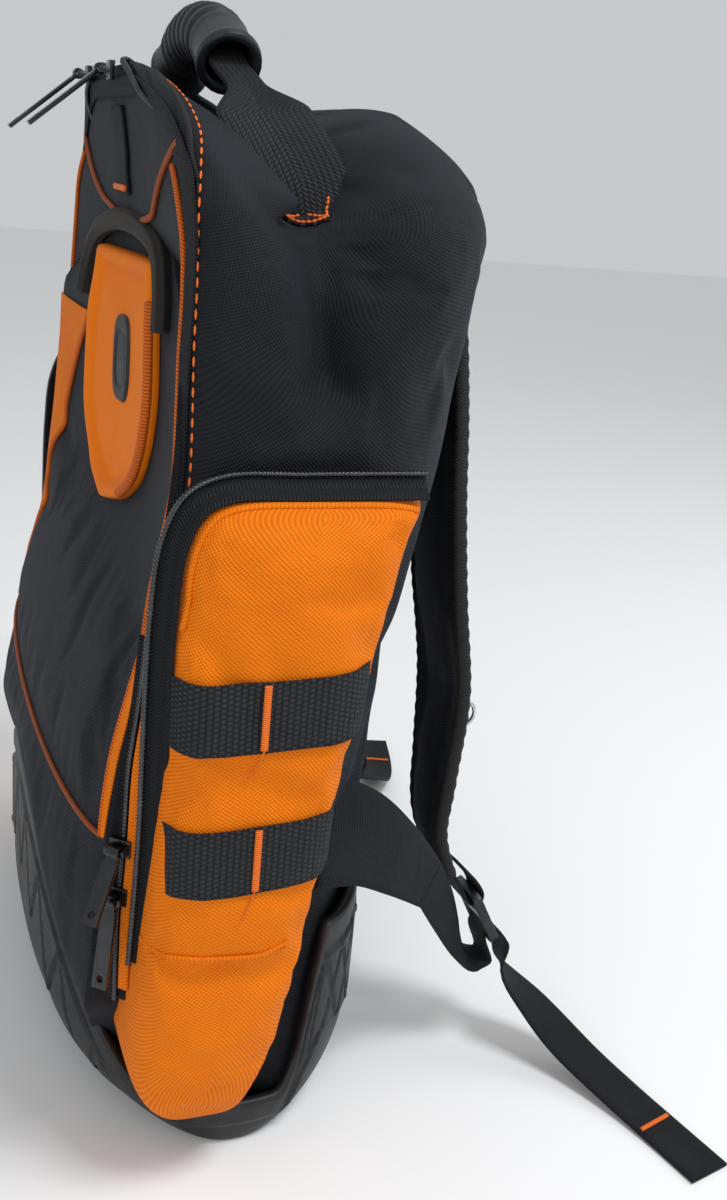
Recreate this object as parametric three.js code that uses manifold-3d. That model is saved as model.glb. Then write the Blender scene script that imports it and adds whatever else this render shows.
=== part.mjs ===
// Tool backpack on a moulded rubber base, standing by itself.
// Millimetres, +Z up. The front faces -Y, the shoulder straps are at +Y. The origin is the middle of the sole.
import * as THREE from 'three';
import { mergeVertices } from 'three/addons/utils/BufferGeometryUtils.js';
import Module from 'manifold-3d';

const wasm = await Module();
wasm.setup();

// Driving sizes of the body
const BODY_HEIGHT = 486;
const BODY_WIDTH = 344;
const BODY_FRONT = 60;
const BODY_REAR = 111;
const CLOTH = 2;
const CLEAR = 0.5;
const REAR_ROUNDING = 2.2;
const ARCH_CENTRE = 0.5;

// Points of the plan rings, and the finest step left in a cut solid
const BODY_POINTS = 36;
const BASE_POINTS = 40;
const POCKET_COLUMNS = 16;
const SIDE_POCKET_POINTS = 24;
const FINEST = 0.04;

// Fold that the handle pulls into the top and the sides
const FOLD_PLACE = 3;
const FOLD_SPREAD = 32;
const FOLD_DEPTH = 46;
const FOLD_CENTRE = 0.74;
const HUMP_DROP = 12;

// Door inside the main zip
const DOOR_RIM = 15;
const DOOR_RECESS = 20;
const DOOR_TILT = 0.12;
const MAIN_ZIP_WIDTH = 20;
const TAPE = 1.6;
const MAIN_ZIP_EDGE = 1.5;
const MAIN_ZIP_FROM = 0.81;

// Rubber base
const BASE_WIDTH = 340;
const BASE_FRONT = 90;
const BASE_REAR = 79;
const BASE_WALL = 4;
const SOLE = 5;
const SOLE_ROUNDING = 50;
const SIDE_ROUNDING = 0.14;
const BASE_CORNER = 2.5;
const LIP_HEIGHT = 25;
const FRONT_RIM_HEIGHT = 137;
const REAR_RIM_HEIGHT = 112;

// Front pocket, its tongue and its crescents
const POCKET_HEIGHT = 411;
const POCKET_WIDTH = 330;
const POCKET_BACK = 10;
const TONGUE_WIDTH = 122;
const TONGUE_LENGTH = 122;
const TONGUE_TOP = 398;
const TONGUE_THICK = 3;
const BADGE_WIDTH = 26;
const BADGE_LENGTH = 44;
const BADGE_THICK = 2.5;
const BADGE_DROP = 0.42;
const BINDING = 8;
const CRESCENT_THICK = 1.2;

// Side pockets, their zips and tool loops
const SIDE_POCKET_TOP = 324;
const SIDE_POCKET_FOOT = 29;
const SIDE_POCKET_DEPTH = 92;
const SIDE_POCKET_BULGE = 29;
const SIDE_POCKET_INSIDE = 140;
const SIDE_ZIP_WIDTH = 9;
const SIDE_ZIP_LIFT = 4.5;
const WEBBING = 30;
const LOOP_THICK = 1.8;
const UPPER_LOOP = 241;
const LOWER_LOOP = 178;
const POCKET_ZIP_WIDTH = 9;
const GUSSET_WIDTH = 7;

// Handle
const GRIP_LENGTH = 108;
const GRIP_RISE = 15;
const GRIP_TOP = 513;
const GRIP_RADIUS = 14;
const GRIP_BORE = 10.5;
const GRIP_PLACE = -8;
const GRIP_RIBS = 7;
const RIB_DEPTH = 1.2;
const RIBBED_FROM = 0.2;
const HANDLE_WEBBING = 36;
const HANDLE_THICK = 2.2;
const HANDLE_TAB_X = 118;
const HANDLE_TAB_Z = 425;

// Straps and buckles
const STRAP_WIDTH = 62;
const STRAP_THICK = 9;
const LOWER_WEBBING = 25;
const WEBBING_THICK = 1.6;
const BUCKLE_WIDTH = 33;
const BUCKLE_LENGTH = 30;
const BUCKLE_THICK = 5;
const BUCKLE_CORNER = 3;
const BUCKLE_BAR = 4;
const TURN_RADIUS = 4.7;

// Zip sliders and pulls
const SLIDER_WIDTH = 10;
const SLIDER_LENGTH = 8;
const SLIDER_THICK = 2.4;
const POST = 1.6;
const BAR_RADIUS = 0.9;
const BAR_LIFT = 6.2;
const EYE_WIDTH = 5.4;
const EYE_RADIUS = 2.6;
const PULL_HOLE = 1.7;
const TOP_LEAN = 50;
const PULL_WIDTH = 7;
const PULL_THICK = 2;
const TOP_PULL_LENGTH = 39;
const SIDE_PULL_LENGTH = 30;
const UPPER_PULL = 169;
const LOWER_PULL = 146;

// A table with named columns
const table = (columns, rows) => {
  const names = columns.split(' ');
  return rows.map((row) => Object.fromEntries(row.map((value, i) => [names[i], value])));
};

// Value of a column at a place along a table's key column
const look = (rows, key, place, column) => {
  if (place <= rows[0][key]) return rows[0][column];
  const next = rows.findIndex((row) => row[key] >= place);
  if (next < 0) return rows[rows.length - 1][column];
  const share = (place - rows[next - 1][key]) / (rows[next][key] - rows[next - 1][key]);
  return THREE.MathUtils.lerp(rows[next - 1][column], rows[next][column], share);
};

const ease = (value) => THREE.MathUtils.smoothstep(value, 0, 1);

// Booleans
const solidOf = (geometry) => {
  const bare = new THREE.BufferGeometry();
  bare.setAttribute('position', geometry.getAttribute('position').clone());
  if (geometry.index) bare.setIndex(geometry.index.clone());
  const merged = mergeVertices(bare, 1e-3);
  return new wasm.Manifold(new wasm.Mesh({
    numProp: 3,
    vertProperties: new Float32Array(merged.getAttribute('position').array),
    triVerts: new Uint32Array(merged.index.array),
  }));
};

const geometryOf = (solid) => {
  const mesh = solid.getMesh();
  const geometry = new THREE.BufferGeometry();
  geometry.setAttribute('position', new THREE.BufferAttribute(new Float32Array(mesh.vertProperties), 3));
  geometry.setIndex(new THREE.BufferAttribute(new Uint32Array(mesh.triVerts), 1));
  geometry.computeVertexNormals();
  return geometry;
};

// Closed geometry through rings of equal counts, each end closed by a fan about its middle
const loft = (sections) => {
  const count = sections[0].length;
  const last = (sections.length - 1) * count;
  const points = sections.flat();
  const faces = [];
  for (let i = 0; i < last; i += 1) {
    const next = i % count === count - 1 ? i + 1 - count : i + 1;
    faces.push(i, next, i + count, next, next + count, i + count);
  }
  const fan = (ring, first, turned) => {
    const middle = ring.reduce((sum, point) => sum.add(point), new THREE.Vector3()).divideScalar(count);
    points.push(middle);
    for (let j = 0; j < count; j += 1) {
      const pair = [first + j, first + (j + 1) % count];
      faces.push(points.length - 1, ...(turned ? pair.reverse() : pair));
    }
  };
  fan(sections[0], 0, true);
  fan(sections[sections.length - 1], last, false);
  const geometry = new THREE.BufferGeometry().setFromPoints(points);
  geometry.setIndex(faces);
  geometry.computeVertexNormals();
  return geometry;
};
const stack = (rows, ring) => loft(rows.map(ring));

// Prism of an outline, given as pairs across and up, along X or along Y
const prismAlongX = (outline, from, to) => {
  const shape = new THREE.Shape(outline.map(([y, z]) => new THREE.Vector2(y, z)));
  const geometry = new THREE.ExtrudeGeometry(shape, { depth: to - from, bevelEnabled: false });
  const turn = new THREE.Matrix4().makeBasis(
    new THREE.Vector3(0, 1, 0), new THREE.Vector3(0, 0, 1), new THREE.Vector3(1, 0, 0));
  return solidOf(geometry.applyMatrix4(turn).translate(from, 0, 0));
};

const prismAlongY = (outline, from, to) => {
  const shape = new THREE.Shape(outline.map(([x, z]) => new THREE.Vector2(x, z)));
  const geometry = new THREE.ExtrudeGeometry(shape, { depth: to - from, bevelEnabled: false });
  return solidOf(geometry.rotateX(Math.PI / 2).translate(0, to, 0));
};

// The largest of a solid's separate pieces, and a solid with its mirror image
const larger = (one, other) => (other.volume() > one.volume() ? other : one);
const mainPiece = (solid) => solid.decompose().reduce(larger);
const bothSides = (solid) => solid.add(solid.mirror([1, 0, 0]));

// The space a solid and its clearance take
const clearOf = (solid) => [
  [CLEAR, 0, 0], [-CLEAR, 0, 0], [0, CLEAR, 0], [0, -CLEAR, 0], [0, 0, CLEAR], [0, 0, -CLEAR],
].reduce((sum, step) => sum.add(solid.translate(step)), solid);

// Main body: plan rings from the sole to the top, as shares of the driving sizes
const bodyRows = table('height width front rear edge', [
  [0.013, 0.80, 0.60, 0.52, 2.6],
  [0.030, 0.88, 0.80, 0.64, 2.6],
  [0.060, 0.92, 0.90, 0.68, 2.8],
  [0.200, 0.93, 0.92, 0.64, 3.2],
  [0.280, 0.955, 0.95, 0.65, 5],
  [0.360, 0.99, 1.00, 0.66, 9],
  [0.450, 1.00, 0.99, 0.69, 10],
  [0.550, 1.00, 0.96, 0.76, 10],
  [0.680, 1.00, 0.82, 0.86, 10],
  [0.760, 1.00, 0.82, 0.90, 10],
  [0.820, 0.995, 0.80, 0.95, 10],
  [0.850, 0.985, 0.79, 0.98, 10],
  [0.880, 0.97, 0.78, 1.00, 10],
  [0.915, 0.91, 0.76, 0.99, 9],
  [0.945, 0.80, 0.78, 0.94, 9],
  [0.970, 0.68, 0.82, 0.88, 8],
  [0.987, 0.53, 0.84, 0.79, 7],
  [0.997, 0.36, 0.84, 0.67, 6],
  [1.000, 0.10, 0.30, 0.36, 4],
]);

const foldRows = table('height depth spread shift', [
  [0.69, 0, 0.4, 9], [0.755, 0.2, 0.4, 8], [0.82, 0.3, 0.5, 8], [0.88, 0.65, 0.7, 6], [0.93, 1, 0.9, 5],
  [0.97, 0.9, 1, 0], [1, 0.78, 1, -5],
]);

// Depth of the fold at a point, and where the point goes
const foldCentre = FOLD_CENTRE * BODY_HEIGHT;
const folded = (point) => {
  const at = (column) => look(foldRows, 'height', point.z / BODY_HEIGHT, column);
  const away = (point.y - FOLD_PLACE - at('shift')) / (FOLD_SPREAD * at('spread'));
  const depth = FOLD_DEPTH * at('depth') * Math.exp(-(away ** 2));
  const reach = Math.hypot(point.x, point.z - foldCentre) || 1;
  point.x -= depth * point.x / reach;
  point.z -= depth * (point.z - foldCentre) / reach;
  return point;
};

const planPoint = (angle, halfWidth, front, rear, frontPower, rearPower) => {
  const power = Math.sin(angle) < 0 ? frontPower : rearPower;
  const [c, s] = [Math.cos(angle), Math.sin(angle)];
  const reach = (Math.abs(c) ** power + Math.abs(s) ** power) ** (-1 / power);
  return [halfWidth * reach * c, (front + rear) / 2 + (rear - front) / 2 * reach * s];
};

// Angles of a plan ring, closer together at its four corners
const ringAngles = (count, crowding) => Array.from({ length: count }, (_, i) => {
  const angle = 2 * Math.PI * i / count;
  return angle + crowding * Math.sin(4 * angle);
});

const bodyRing = (inset) => (row) => ringAngles(BODY_POINTS, 0.15).map((angle) => {
  const [x, y] = planPoint(angle, row.width * BODY_WIDTH / 2 - inset, inset - row.front * BODY_FRONT,
    row.rear * BODY_REAR - inset, row.edge, REAR_ROUNDING);
  const height = row.height * BODY_HEIGHT + inset * (1 - 2 * row.height);
  const drop = HUMP_DROP * ease((y + 20) / 80) * ease((row.height - 0.85) / 0.15);
  return folded(new THREE.Vector3(x, y, height - drop));
});

// Rubber base: a tray whose rim rises in an arch at the front and in blocks at the rear
const rimHeight = (x, y) => {
  const arch = (FRONT_RIM_HEIGHT - LIP_HEIGHT) * Math.max(0, 1 - (x / (0.92 * BASE_WIDTH / 2)) ** 2);
  const block = (REAR_RIM_HEIGHT - LIP_HEIGHT) * ease((y - 16) / 20);
  return LIP_HEIGHT + (y < 0 ? arch : block);
};
const baseRows = table('share', [[0], [0.04], [0.11], [0.22], [0.4], [0.68], [1]]);
const baseRing = (row, wall, floor) => ringAngles(BASE_POINTS, 0.06).map((angle) => {
  const [fullX, fullY] = planPoint(angle, BASE_WIDTH / 2, -BASE_FRONT, BASE_REAR, BASE_CORNER, BASE_CORNER);
  const height = floor + row.share * (rimHeight(fullX, fullY) - floor);
  const drop = Math.max(0, 1 - (height - floor) / (SOLE_ROUNDING - floor));
  const inset = wall + (SOLE_ROUNDING - wall) * (1 - Math.sqrt(1 - drop ** 2));
  const sideInset = wall + (inset - wall) * SIDE_ROUNDING;
  const [x, y] = planPoint(angle, BASE_WIDTH / 2 - sideInset, inset - BASE_FRONT, BASE_REAR - inset,
    BASE_CORNER, BASE_CORNER);
  return new THREE.Vector3(x, y, height);
});
// Room inside the tray, shrunk by an inset, with everything above its rim added
const baseRoom = (inset) => {
  const inner = baseRows.map((row) => baseRing(row, BASE_WALL + CLEAR + inset, SOLE + CLEAR + inset));
  const lip = inner[inner.length - 1].map((point) => point.clone().setZ(point.z + CLEAR + inset));
  const wide = lip.map((point) => new THREE.Vector3(point.x * 1.5, point.y * 1.7, point.z));
  const high = wide.map((point) => point.clone().setZ(1.5 * BODY_HEIGHT));
  return solidOf(loft([...inner, lip, wide, high]));
};
const baseGeometry = loft([
  ...baseRows.map((row) => baseRing(row, 0, 0)),
  ...[...baseRows].reverse().map((row) => baseRing(row, BASE_WALL, SOLE)),
]);

const bodySolid = solidOf(stack(bodyRows, bodyRing(0))).intersect(baseRoom(0));
const bodyHollow = solidOf(stack(bodyRows, bodyRing(CLOTH))).intersect(baseRoom(CLOTH));

// Front surface of the body, before the door's recess
const frontOf = (x, z) => {
  const at = (column) => look(bodyRows, 'height', z / BODY_HEIGHT, column);
  const [front, rear] = [-at('front') * BODY_FRONT, at('rear') * BODY_REAR];
  const share = Math.min(1, Math.abs(x) / (at('width') * BODY_WIDTH / 2));
  return (front + rear) / 2 - (rear - front) / 2 * (1 - share ** at('edge')) ** (1 / at('edge'));
};

// Outline of the body seen from the front, drawn in by an inset
const archOutline = (inset) => {
  const centre = ARCH_CENTRE * BODY_HEIGHT;
  const sideShare = 1 - inset / (BODY_WIDTH / 2);
  const upShare = 1 - inset / (BODY_HEIGHT - centre);
  const side = bodyRows.filter((row) => row.height > 0.02 && row.width > 0.3).map((row) => [
    row.width * BODY_WIDTH / 2 * sideShare,
    centre + (row.height * BODY_HEIGHT - centre) * upShare,
  ]);
  return [...side, ...side.map(([x, z]) => [-x, z]).reverse()];
};

const doorway = prismAlongY(archOutline(DOOR_RIM), -2 * BODY_FRONT, -BODY_FRONT / 3);

// Door: a cloth panel inside the main zip, sunk in its upper half
const recessRows = table('height depth', [[0.45, 0], [0.62, 1], [0.80, 0.9], [0.88, 0.4], [0.95, 0.1], [1, 0]]);
const doorRings = table('size sink', [[1, 0], [0.95, 0.25], [0.87, 0.6], [0.74, 0.9], [0.45, 1], [0.15, 1]]);

const doorRing = (row, thickness) => archOutline(DOOR_RIM + CLEAR).map(([x, z]) => {
  const centre = ARCH_CENTRE * BODY_HEIGHT;
  const [across, up] = [x * row.size, centre + (z - centre) * row.size];
  const sunk = row.sink * look(recessRows, 'height', up / BODY_HEIGHT, 'depth');
  const sink = sunk * (DOOR_RECESS + DOOR_TILT * across);
  return new THREE.Vector3(across, frontOf(across, up) + CLEAR + sink + thickness, up);
});

const doorGeometry = (thickness) => loft([
  ...[...doorRings].reverse().map((row) => doorRing(row, thickness)),
  ...doorRings.map((row) => doorRing(row, 0)),
]);

const doorPanel = solidOf(doorGeometry(CLOTH)).intersect(baseRoom(0));
const doorFill = solidOf(doorGeometry(BODY_FRONT)).intersect(baseRoom(0));
const base = solidOf(baseGeometry);
const bodyShell = bodySolid.subtract(bodyHollow).subtract(doorway).subtract(clearOf(base));

// A skin that lies on a solid, cut to a prism: moved out by the clearance and its thickness
const skin = (solid, prism, direction, thickness) => {
  const out = direction.clone().multiplyScalar(CLEAR + thickness);
  return solid.translate(out.toArray()).intersect(prism).subtract(clearOf(solid));
};

const FORWARD = new THREE.Vector3(0, -1, 0);
const RIGHT = new THREE.Vector3(1, 0, 0);

// Main zip: tape over the front edge of the arch
const zipRing = prismAlongY(archOutline(MAIN_ZIP_EDGE), -2 * BODY_FRONT, -BODY_FRONT / 2)
  .subtract(prismAlongY(archOutline(MAIN_ZIP_WIDTH), -3 * BODY_FRONT, BODY_FRONT));
const abovePocket = prismAlongY([
  [-BODY_WIDTH, MAIN_ZIP_FROM * BODY_HEIGHT], [BODY_WIDTH, MAIN_ZIP_FROM * BODY_HEIGHT],
  [BODY_WIDTH, 2 * BODY_HEIGHT], [-BODY_WIDTH, 2 * BODY_HEIGHT],
], -3 * BODY_FRONT, BODY_FRONT);
const mainZip = skin(bodySolid.add(doorFill), zipRing.intersect(abovePocket), FORWARD, TAPE);

// Front pocket: plan rows from its foot to its arched top
const pocketRows = table('height width edge depth reach crown tilt', [
  [0.015, 0.78, 0.70, 0.25, 1.0, 2.5, 0],
  [0.045, 0.86, 0.72, 0.27, 1.0, 2.5, 0],
  [0.200, 0.95, 0.73, 0.29, 1.02, 2.3, 0],
  [0.310, 0.98, 0.73, 0.29, 1.02, 2.3, 0],
  [0.415, 0.99, 0.71, 0.26, 1.02, 2.1, 0],
  [0.490, 0.99, 0.70, 0.16, 1.02, 2.0, 0],
  [0.570, 0.99, 0.66, 0.05, 1.02, 1.8, 0],
  [0.650, 0.99, 0.63, -0.07, 1.02, 1.4, 0.5],
  [0.730, 0.985, 0.60, -0.17, 1.02, 1.2, 0.85],
  [0.830, 0.975, 0.565, -0.16, 1.02, 1.2, 1],
  [0.885, 0.95, 0.56, -0.155, 1.02, 1.2, 1],
  [0.925, 0.74, 0.535, -0.135, 0.9, 1.3, 1],
  [0.965, 0.50, 0.47, -0.06, 0.7, 1.5, 1],
  [0.988, 0.37, 0.455, -0.04, 0.6, 2, 1],
  [1.000, 0.20, 0.445, -0.03, 0.5, 2, 1],
]);

const crownAt = (row, x) => {
  const share = Math.abs(x) / (row.reach * POCKET_WIDTH / 2);
  const crown = Math.max(0, 1 - share ** row.crown) ** (1 / row.crown);
  return row.tilt * DOOR_TILT * x * crown - BASE_FRONT * (row.edge + row.depth * crown);
};
const pocketRing = (inset) => (row) => {
  const half = row.width * POCKET_WIDTH / 2 - inset;
  const height = row.height * POCKET_HEIGHT + inset * (1 - 2 * row.height);
  const front = Array.from({ length: POCKET_COLUMNS + 1 }, (_, i) => {
    const x = half * Math.sin(Math.PI * (i / POCKET_COLUMNS - 0.5));
    return new THREE.Vector3(x, inset + crownAt(row, x), height);
  });
  const back = THREE.MathUtils.lerp(-BODY_FRONT / 2, POCKET_BACK, ease(3 * row.height));
  return [...front, new THREE.Vector3(half, back, height), new THREE.Vector3(-half, back, height)];
};

const pocketSolid = solidOf(stack(pocketRows, pocketRing(0))).intersect(baseRoom(0));
const pocketHollow = solidOf(stack(pocketRows, pocketRing(CLOTH))).intersect(baseRoom(CLOTH));
const bodyFill = bodySolid.subtract(doorway).add(doorFill).add(
  prismAlongY(archOutline(DOOR_RIM), -BODY_FRONT / 2 + CLOTH, BODY_FRONT / 2));
const frontPocket = pocketSolid.subtract(pocketHollow).subtract(clearOf(bodyFill.add(base)));

// Crescents: orange panels on each side of the front pocket
const crescentRows = table('height inner outer', [
  [0.416, 0.91, 0.975], [0.46, 0.90, 0.975], [0.535, 0.85, 0.975], [0.63, 0.79, 0.975], [0.73, 0.70, 0.97],
  [0.815, 0.575, 0.965], [0.876, 0.43, 0.95],
]);
const crescent = (side) => {
  const half = POCKET_WIDTH / 2;
  const inner = crescentRows.map((row) => [side * row.inner * half, row.height * POCKET_HEIGHT]);
  const outer = crescentRows.map((row) => [side * row.outer * half, row.height * POCKET_HEIGHT]).reverse();
  const outline = side > 0 ? [...outer.reverse(), ...inner.reverse()] : [...inner, ...outer];
  return skin(pocketSolid, prismAlongY(outline, -2 * BASE_FRONT, -BODY_FRONT / 2), FORWARD, CRESCENT_THICK)
    .subtract(clearOf(bodyFill));
};

// Tongue: a padded shield with a round foot, on the pocket's upper middle
const tongueRows = table('drop half', [
  [0, 0.76], [0.1, 0.84], [0.3, 0.96], [0.5, 1], [0.64, 0.98], [0.76, 0.88], [0.87, 0.68], [0.95, 0.42], [1, 0.12],
]);
const tongueOutline = () => {
  const side = tongueRows.map((row) => [
    row.half * TONGUE_WIDTH / 2, TONGUE_TOP - row.drop * TONGUE_LENGTH,
  ]);
  return [...side.map(([x, z]) => [-x, z]), ...[...side].reverse()];
};
const tongue = skin(pocketSolid, prismAlongY(tongueOutline(), -2 * BASE_FRONT, 0), FORWARD, TONGUE_THICK)
  .subtract(clearOf(bodyFill));

// Badge: a blank rubber lozenge with round ends
const BADGE_PLACE = TONGUE_TOP - BADGE_DROP * TONGUE_LENGTH;
const badgeOutline = Array.from({ length: 20 }, (_, i) => {
  const angle = 2 * Math.PI * i / 20;
  const round = (value) => Math.sign(value) * Math.abs(value) ** 0.6;
  return [BADGE_WIDTH / 2 * round(Math.cos(angle)), BADGE_PLACE + BADGE_LENGTH / 2 * round(Math.sin(angle))];
});
const badgeBed = pocketSolid.translate([0, -CLEAR - TONGUE_THICK, 0]);
const badge = skin(badgeBed, prismAlongY(badgeOutline, -2 * BASE_FRONT, 0), FORWARD, BADGE_THICK);

// Ribbed binding over the pocket's arched top edge
const bindingRows = table('across drop', [
  [-0.46, 40], [-0.43, 24], [-0.34, 9], [-0.18, 0.5], [0, -2], [0.18, 0.5], [0.34, 9], [0.43, 24], [0.46, 40],
]);
const pocketFaceAt = (x, z) => {
  const at = (column) => look(pocketRows, 'height', z / POCKET_HEIGHT, column);
  const names = ['edge', 'depth', 'reach', 'crown', 'tilt'];
  return crownAt(Object.fromEntries(names.map((name) => [name, at(name)])), x);
};
const bindingRoute = bindingRows.map((row) => {
  const [x, z] = [row.across * POCKET_WIDTH / 2, POCKET_HEIGHT - row.drop];
  return new THREE.Vector3(x, pocketFaceAt(x, z) - BINDING / 2 + CLEAR, z);
});

// Section carried along a route, with its width kept near a given direction
const carried = (route, stepsPerSpan, widthAlong, sectionAt) => {
  const curve = new THREE.CatmullRomCurve3(route, false, 'centripetal');
  const steps = (route.length - 1) * stepsPerSpan;
  return loft(Array.from({ length: steps + 1 }, (_, i) => {
    const share = i / steps;
    const place = curve.getPoint(share);
    const along = curve.getTangent(share);
    const wanted = widthAlong(share, along);
    const across = wanted.clone().addScaledVector(along, -wanted.dot(along)).normalize();
    const face = new THREE.Vector3().crossVectors(along, across);
    return sectionAt(share).map(([a, b]) => place.clone().addScaledVector(across, a).addScaledVector(face, b));
  }));
};
const facing = (x, y, z) => (share, along) => new THREE.Vector3(x, y, z).cross(along);

const flat = (width, thickness) => {
  const [w, t] = [width / 2, thickness / 2];
  return [[-w, -t], [w, -t], [w, t], [-w, t]];
};

const padSection = (width, thickness, count = 10) => Array.from({ length: count }, (_, i) => {
  const angle = 2 * Math.PI * (i + 0.5) / count;
  const round = (value, power) => Math.sign(value) * Math.abs(value) ** power;
  return [width / 2 * round(Math.cos(angle), 0.5), thickness / 2 * round(Math.sin(angle), 0.7)];
});

const bindingSection = padSection(BINDING, BINDING, 8);
const binding = solidOf(carried(bindingRoute, 3, facing(0, -1, 0), () => bindingSection))
  .subtract(clearOf(pocketSolid.add(tongue).add(bodyFill)));

// Front strip: webbing that hangs down the sunk panel from under the zip
const stripTop = 0.955 * BODY_HEIGHT;
const stripFoot = 0.875 * BODY_HEIGHT;
const stripOutline = [
  [-WEBBING / 2, stripFoot], [WEBBING / 2, stripFoot], [WEBBING / 2, stripTop], [-WEBBING / 2, stripTop],
];
const frontStrip = skin(doorFill, prismAlongY(stripOutline, -2 * BODY_FRONT, 0), FORWARD, LOOP_THICK);

// Side pockets: plan rows from the foot to the top, with front and rear edges as shares of the depth
const sidePocketRows = table('height front rear bulge', [
  [0.000, -0.40, -0.16, 0.10],
  [0.022, -0.54, -0.06, 0.42],
  [0.070, -0.63, 0.00, 0.66],
  [0.150, -0.67, 0.07, 0.85],
  [0.300, -0.655, 0.15, 0.97],
  [0.490, -0.61, 0.24, 1.00],
  [0.700, -0.575, 0.35, 1.00],
  [0.860, -0.555, 0.455, 0.93],
  [0.945, -0.52, 0.52, 0.84],
  [0.985, -0.46, 0.58, 0.68],
  [1.000, -0.42, 0.58, 0.46],
]);

const sidePocketRing = (inset) => (row) => {
  const rise = SIDE_POCKET_TOP - SIDE_POCKET_FOOT;
  const height = SIDE_POCKET_FOOT + row.height * rise + inset * (1 - 2 * row.height);
  const front = row.front * SIDE_POCKET_DEPTH + inset;
  const rear = row.rear * SIDE_POCKET_DEPTH - inset;
  const out = BODY_WIDTH / 2 + row.bulge * SIDE_POCKET_BULGE - inset;
  return ringAngles(SIDE_POCKET_POINTS, 0.12).map((angle) => {
    const [across, along] = planPoint(angle, out - SIDE_POCKET_INSIDE, front, rear, 4.5, 4.5);
    return new THREE.Vector3(SIDE_POCKET_INSIDE + across, along, height);
  });
};
const sidePocketSolid = solidOf(stack(sidePocketRows, sidePocketRing(0)));
const sidePocketHollow = solidOf(stack(sidePocketRows, sidePocketRing(CLOTH)));
const sideInside = prismAlongX([
  [-BASE_FRONT, 0], [BASE_FRONT, 0], [BASE_FRONT, BODY_HEIGHT], [-BASE_FRONT, BODY_HEIGHT],
], 0, BODY_WIDTH / 2 - 16);
const sidePocket = sidePocketSolid.subtract(sidePocketHollow)
  .subtract(clearOf(bothSides(bodySolid.add(pocketSolid).add(base)))).subtract(sideInside);

// Side zip: a strip that runs up beside the pocket's front edge and over its top
const sideZipRows = table('front height', [
  [-0.64, 0.30], [-0.615, 0.50], [-0.61, 0.70], [-0.60, 0.84], [-0.565, 0.94], [-0.48, 0.995], [-0.34, 1.017],
  [0, 1.02], [0.56, 1.022],
]);
const sideZipRoute = sideZipRows.map((row) => new THREE.Vector3(BODY_WIDTH / 2 + SIDE_ZIP_LIFT,
  row.front * SIDE_POCKET_DEPTH, SIDE_POCKET_FOOT + row.height * (SIDE_POCKET_TOP - SIDE_POCKET_FOOT)));

// Tool loops: webbing over the pocket's face
const toolLoop = (middle) => {
  const outline = [
    [-SIDE_POCKET_DEPTH, middle - WEBBING / 2], [SIDE_POCKET_DEPTH, middle - WEBBING / 2],
    [SIDE_POCKET_DEPTH, middle + WEBBING / 2], [-SIDE_POCKET_DEPTH, middle + WEBBING / 2],
  ];
  return skin(sidePocketSolid, prismAlongX(outline, BODY_WIDTH / 2 + 8, 260), RIGHT, LOOP_THICK);
};

// Handle: a hollow grip on an arc, and the webbing that runs through it to the shoulders
const gripRadiusOfArc = ((GRIP_LENGTH / 2) ** 2 + GRIP_RISE ** 2) / (2 * GRIP_RISE);
const gripPoint = (share) => {
  const sweep = Math.asin(GRIP_LENGTH / 2 / gripRadiusOfArc);
  const angle = sweep * (2 * share - 1);
  const top = GRIP_TOP - GRIP_RADIUS;
  return new THREE.Vector3(gripRadiusOfArc * Math.sin(angle), GRIP_PLACE,
    top - gripRadiusOfArc * (1 - Math.cos(angle)));
};
const gripRoute = (over) => Array.from({ length: 9 }, (_, i) => gripPoint(-over + (1 + 2 * over) * i / 8));
const circle = (radius, count) => Array.from({ length: count }, (_, i) => {
  const angle = 2 * Math.PI * i / count;
  return [radius * Math.cos(angle), radius * Math.sin(angle)];
});
const gripProfile = table('share radius', [
  [0, 1.12], [0.06, 1.0], [0.16, 0.92], [0.22, 1], [0.5, 1.02], [0.78, 1], [0.84, 0.92], [0.94, 1.0], [1, 1.12],
]);
const gripSize = (share) => {
  const smooth = GRIP_RADIUS * look(gripProfile, 'share', share, 'radius');
  const along = (share - RIBBED_FROM) / (1 - 2 * RIBBED_FROM);
  const ribbed = along > 0 && along < 1;
  return smooth - (ribbed ? RIB_DEPTH * (1 - Math.cos(2 * Math.PI * GRIP_RIBS * along)) / 2 : 0);
};
const alongDepth = () => new THREE.Vector3(0, 1, 0);
const gripOuter = carried(gripRoute(0), 4, alongDepth, (share) => circle(gripSize(share), 12));
const gripBore = carried(gripRoute(0.08), 1, alongDepth, () => circle(GRIP_BORE, 12));
const grip = solidOf(gripOuter).subtract(solidOf(gripBore));

const handleRoute = () => {
  const end = gripPoint(1);
  const side = [
    [HANDLE_TAB_X, FOLD_PLACE + 9, HANDLE_TAB_Z], [HANDLE_TAB_X - 6, FOLD_PLACE + 7, HANDLE_TAB_Z + 14],
    [HANDLE_TAB_X - 22, FOLD_PLACE, HANDLE_TAB_Z + 33], [end.x + 14, GRIP_PLACE + 3, end.z - 7],
  ];
  const inside = [1, 0.85, 0.7, 0.5].map((share) => gripPoint(share));
  const half = [...side.map(([x, y, z]) => new THREE.Vector3(x, y, z)), ...inside];
  const mirrored = half.slice(0, -1).reverse().map((point) => new THREE.Vector3(-point.x, point.y, point.z));
  return [...half, ...mirrored];
};
const handleWidth = (share) => {
  const inside = ease((Math.min(share, 1 - share) - 0.18) / 0.07);
  return THREE.MathUtils.lerp(HANDLE_WEBBING, 2 * GRIP_BORE - 3, inside);
};
const handleSection = (share) => flat(handleWidth(share), HANDLE_THICK);
const handleStrap = solidOf(carried(handleRoute(), 3, alongDepth, handleSection)).subtract(clearOf(bodySolid));

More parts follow.
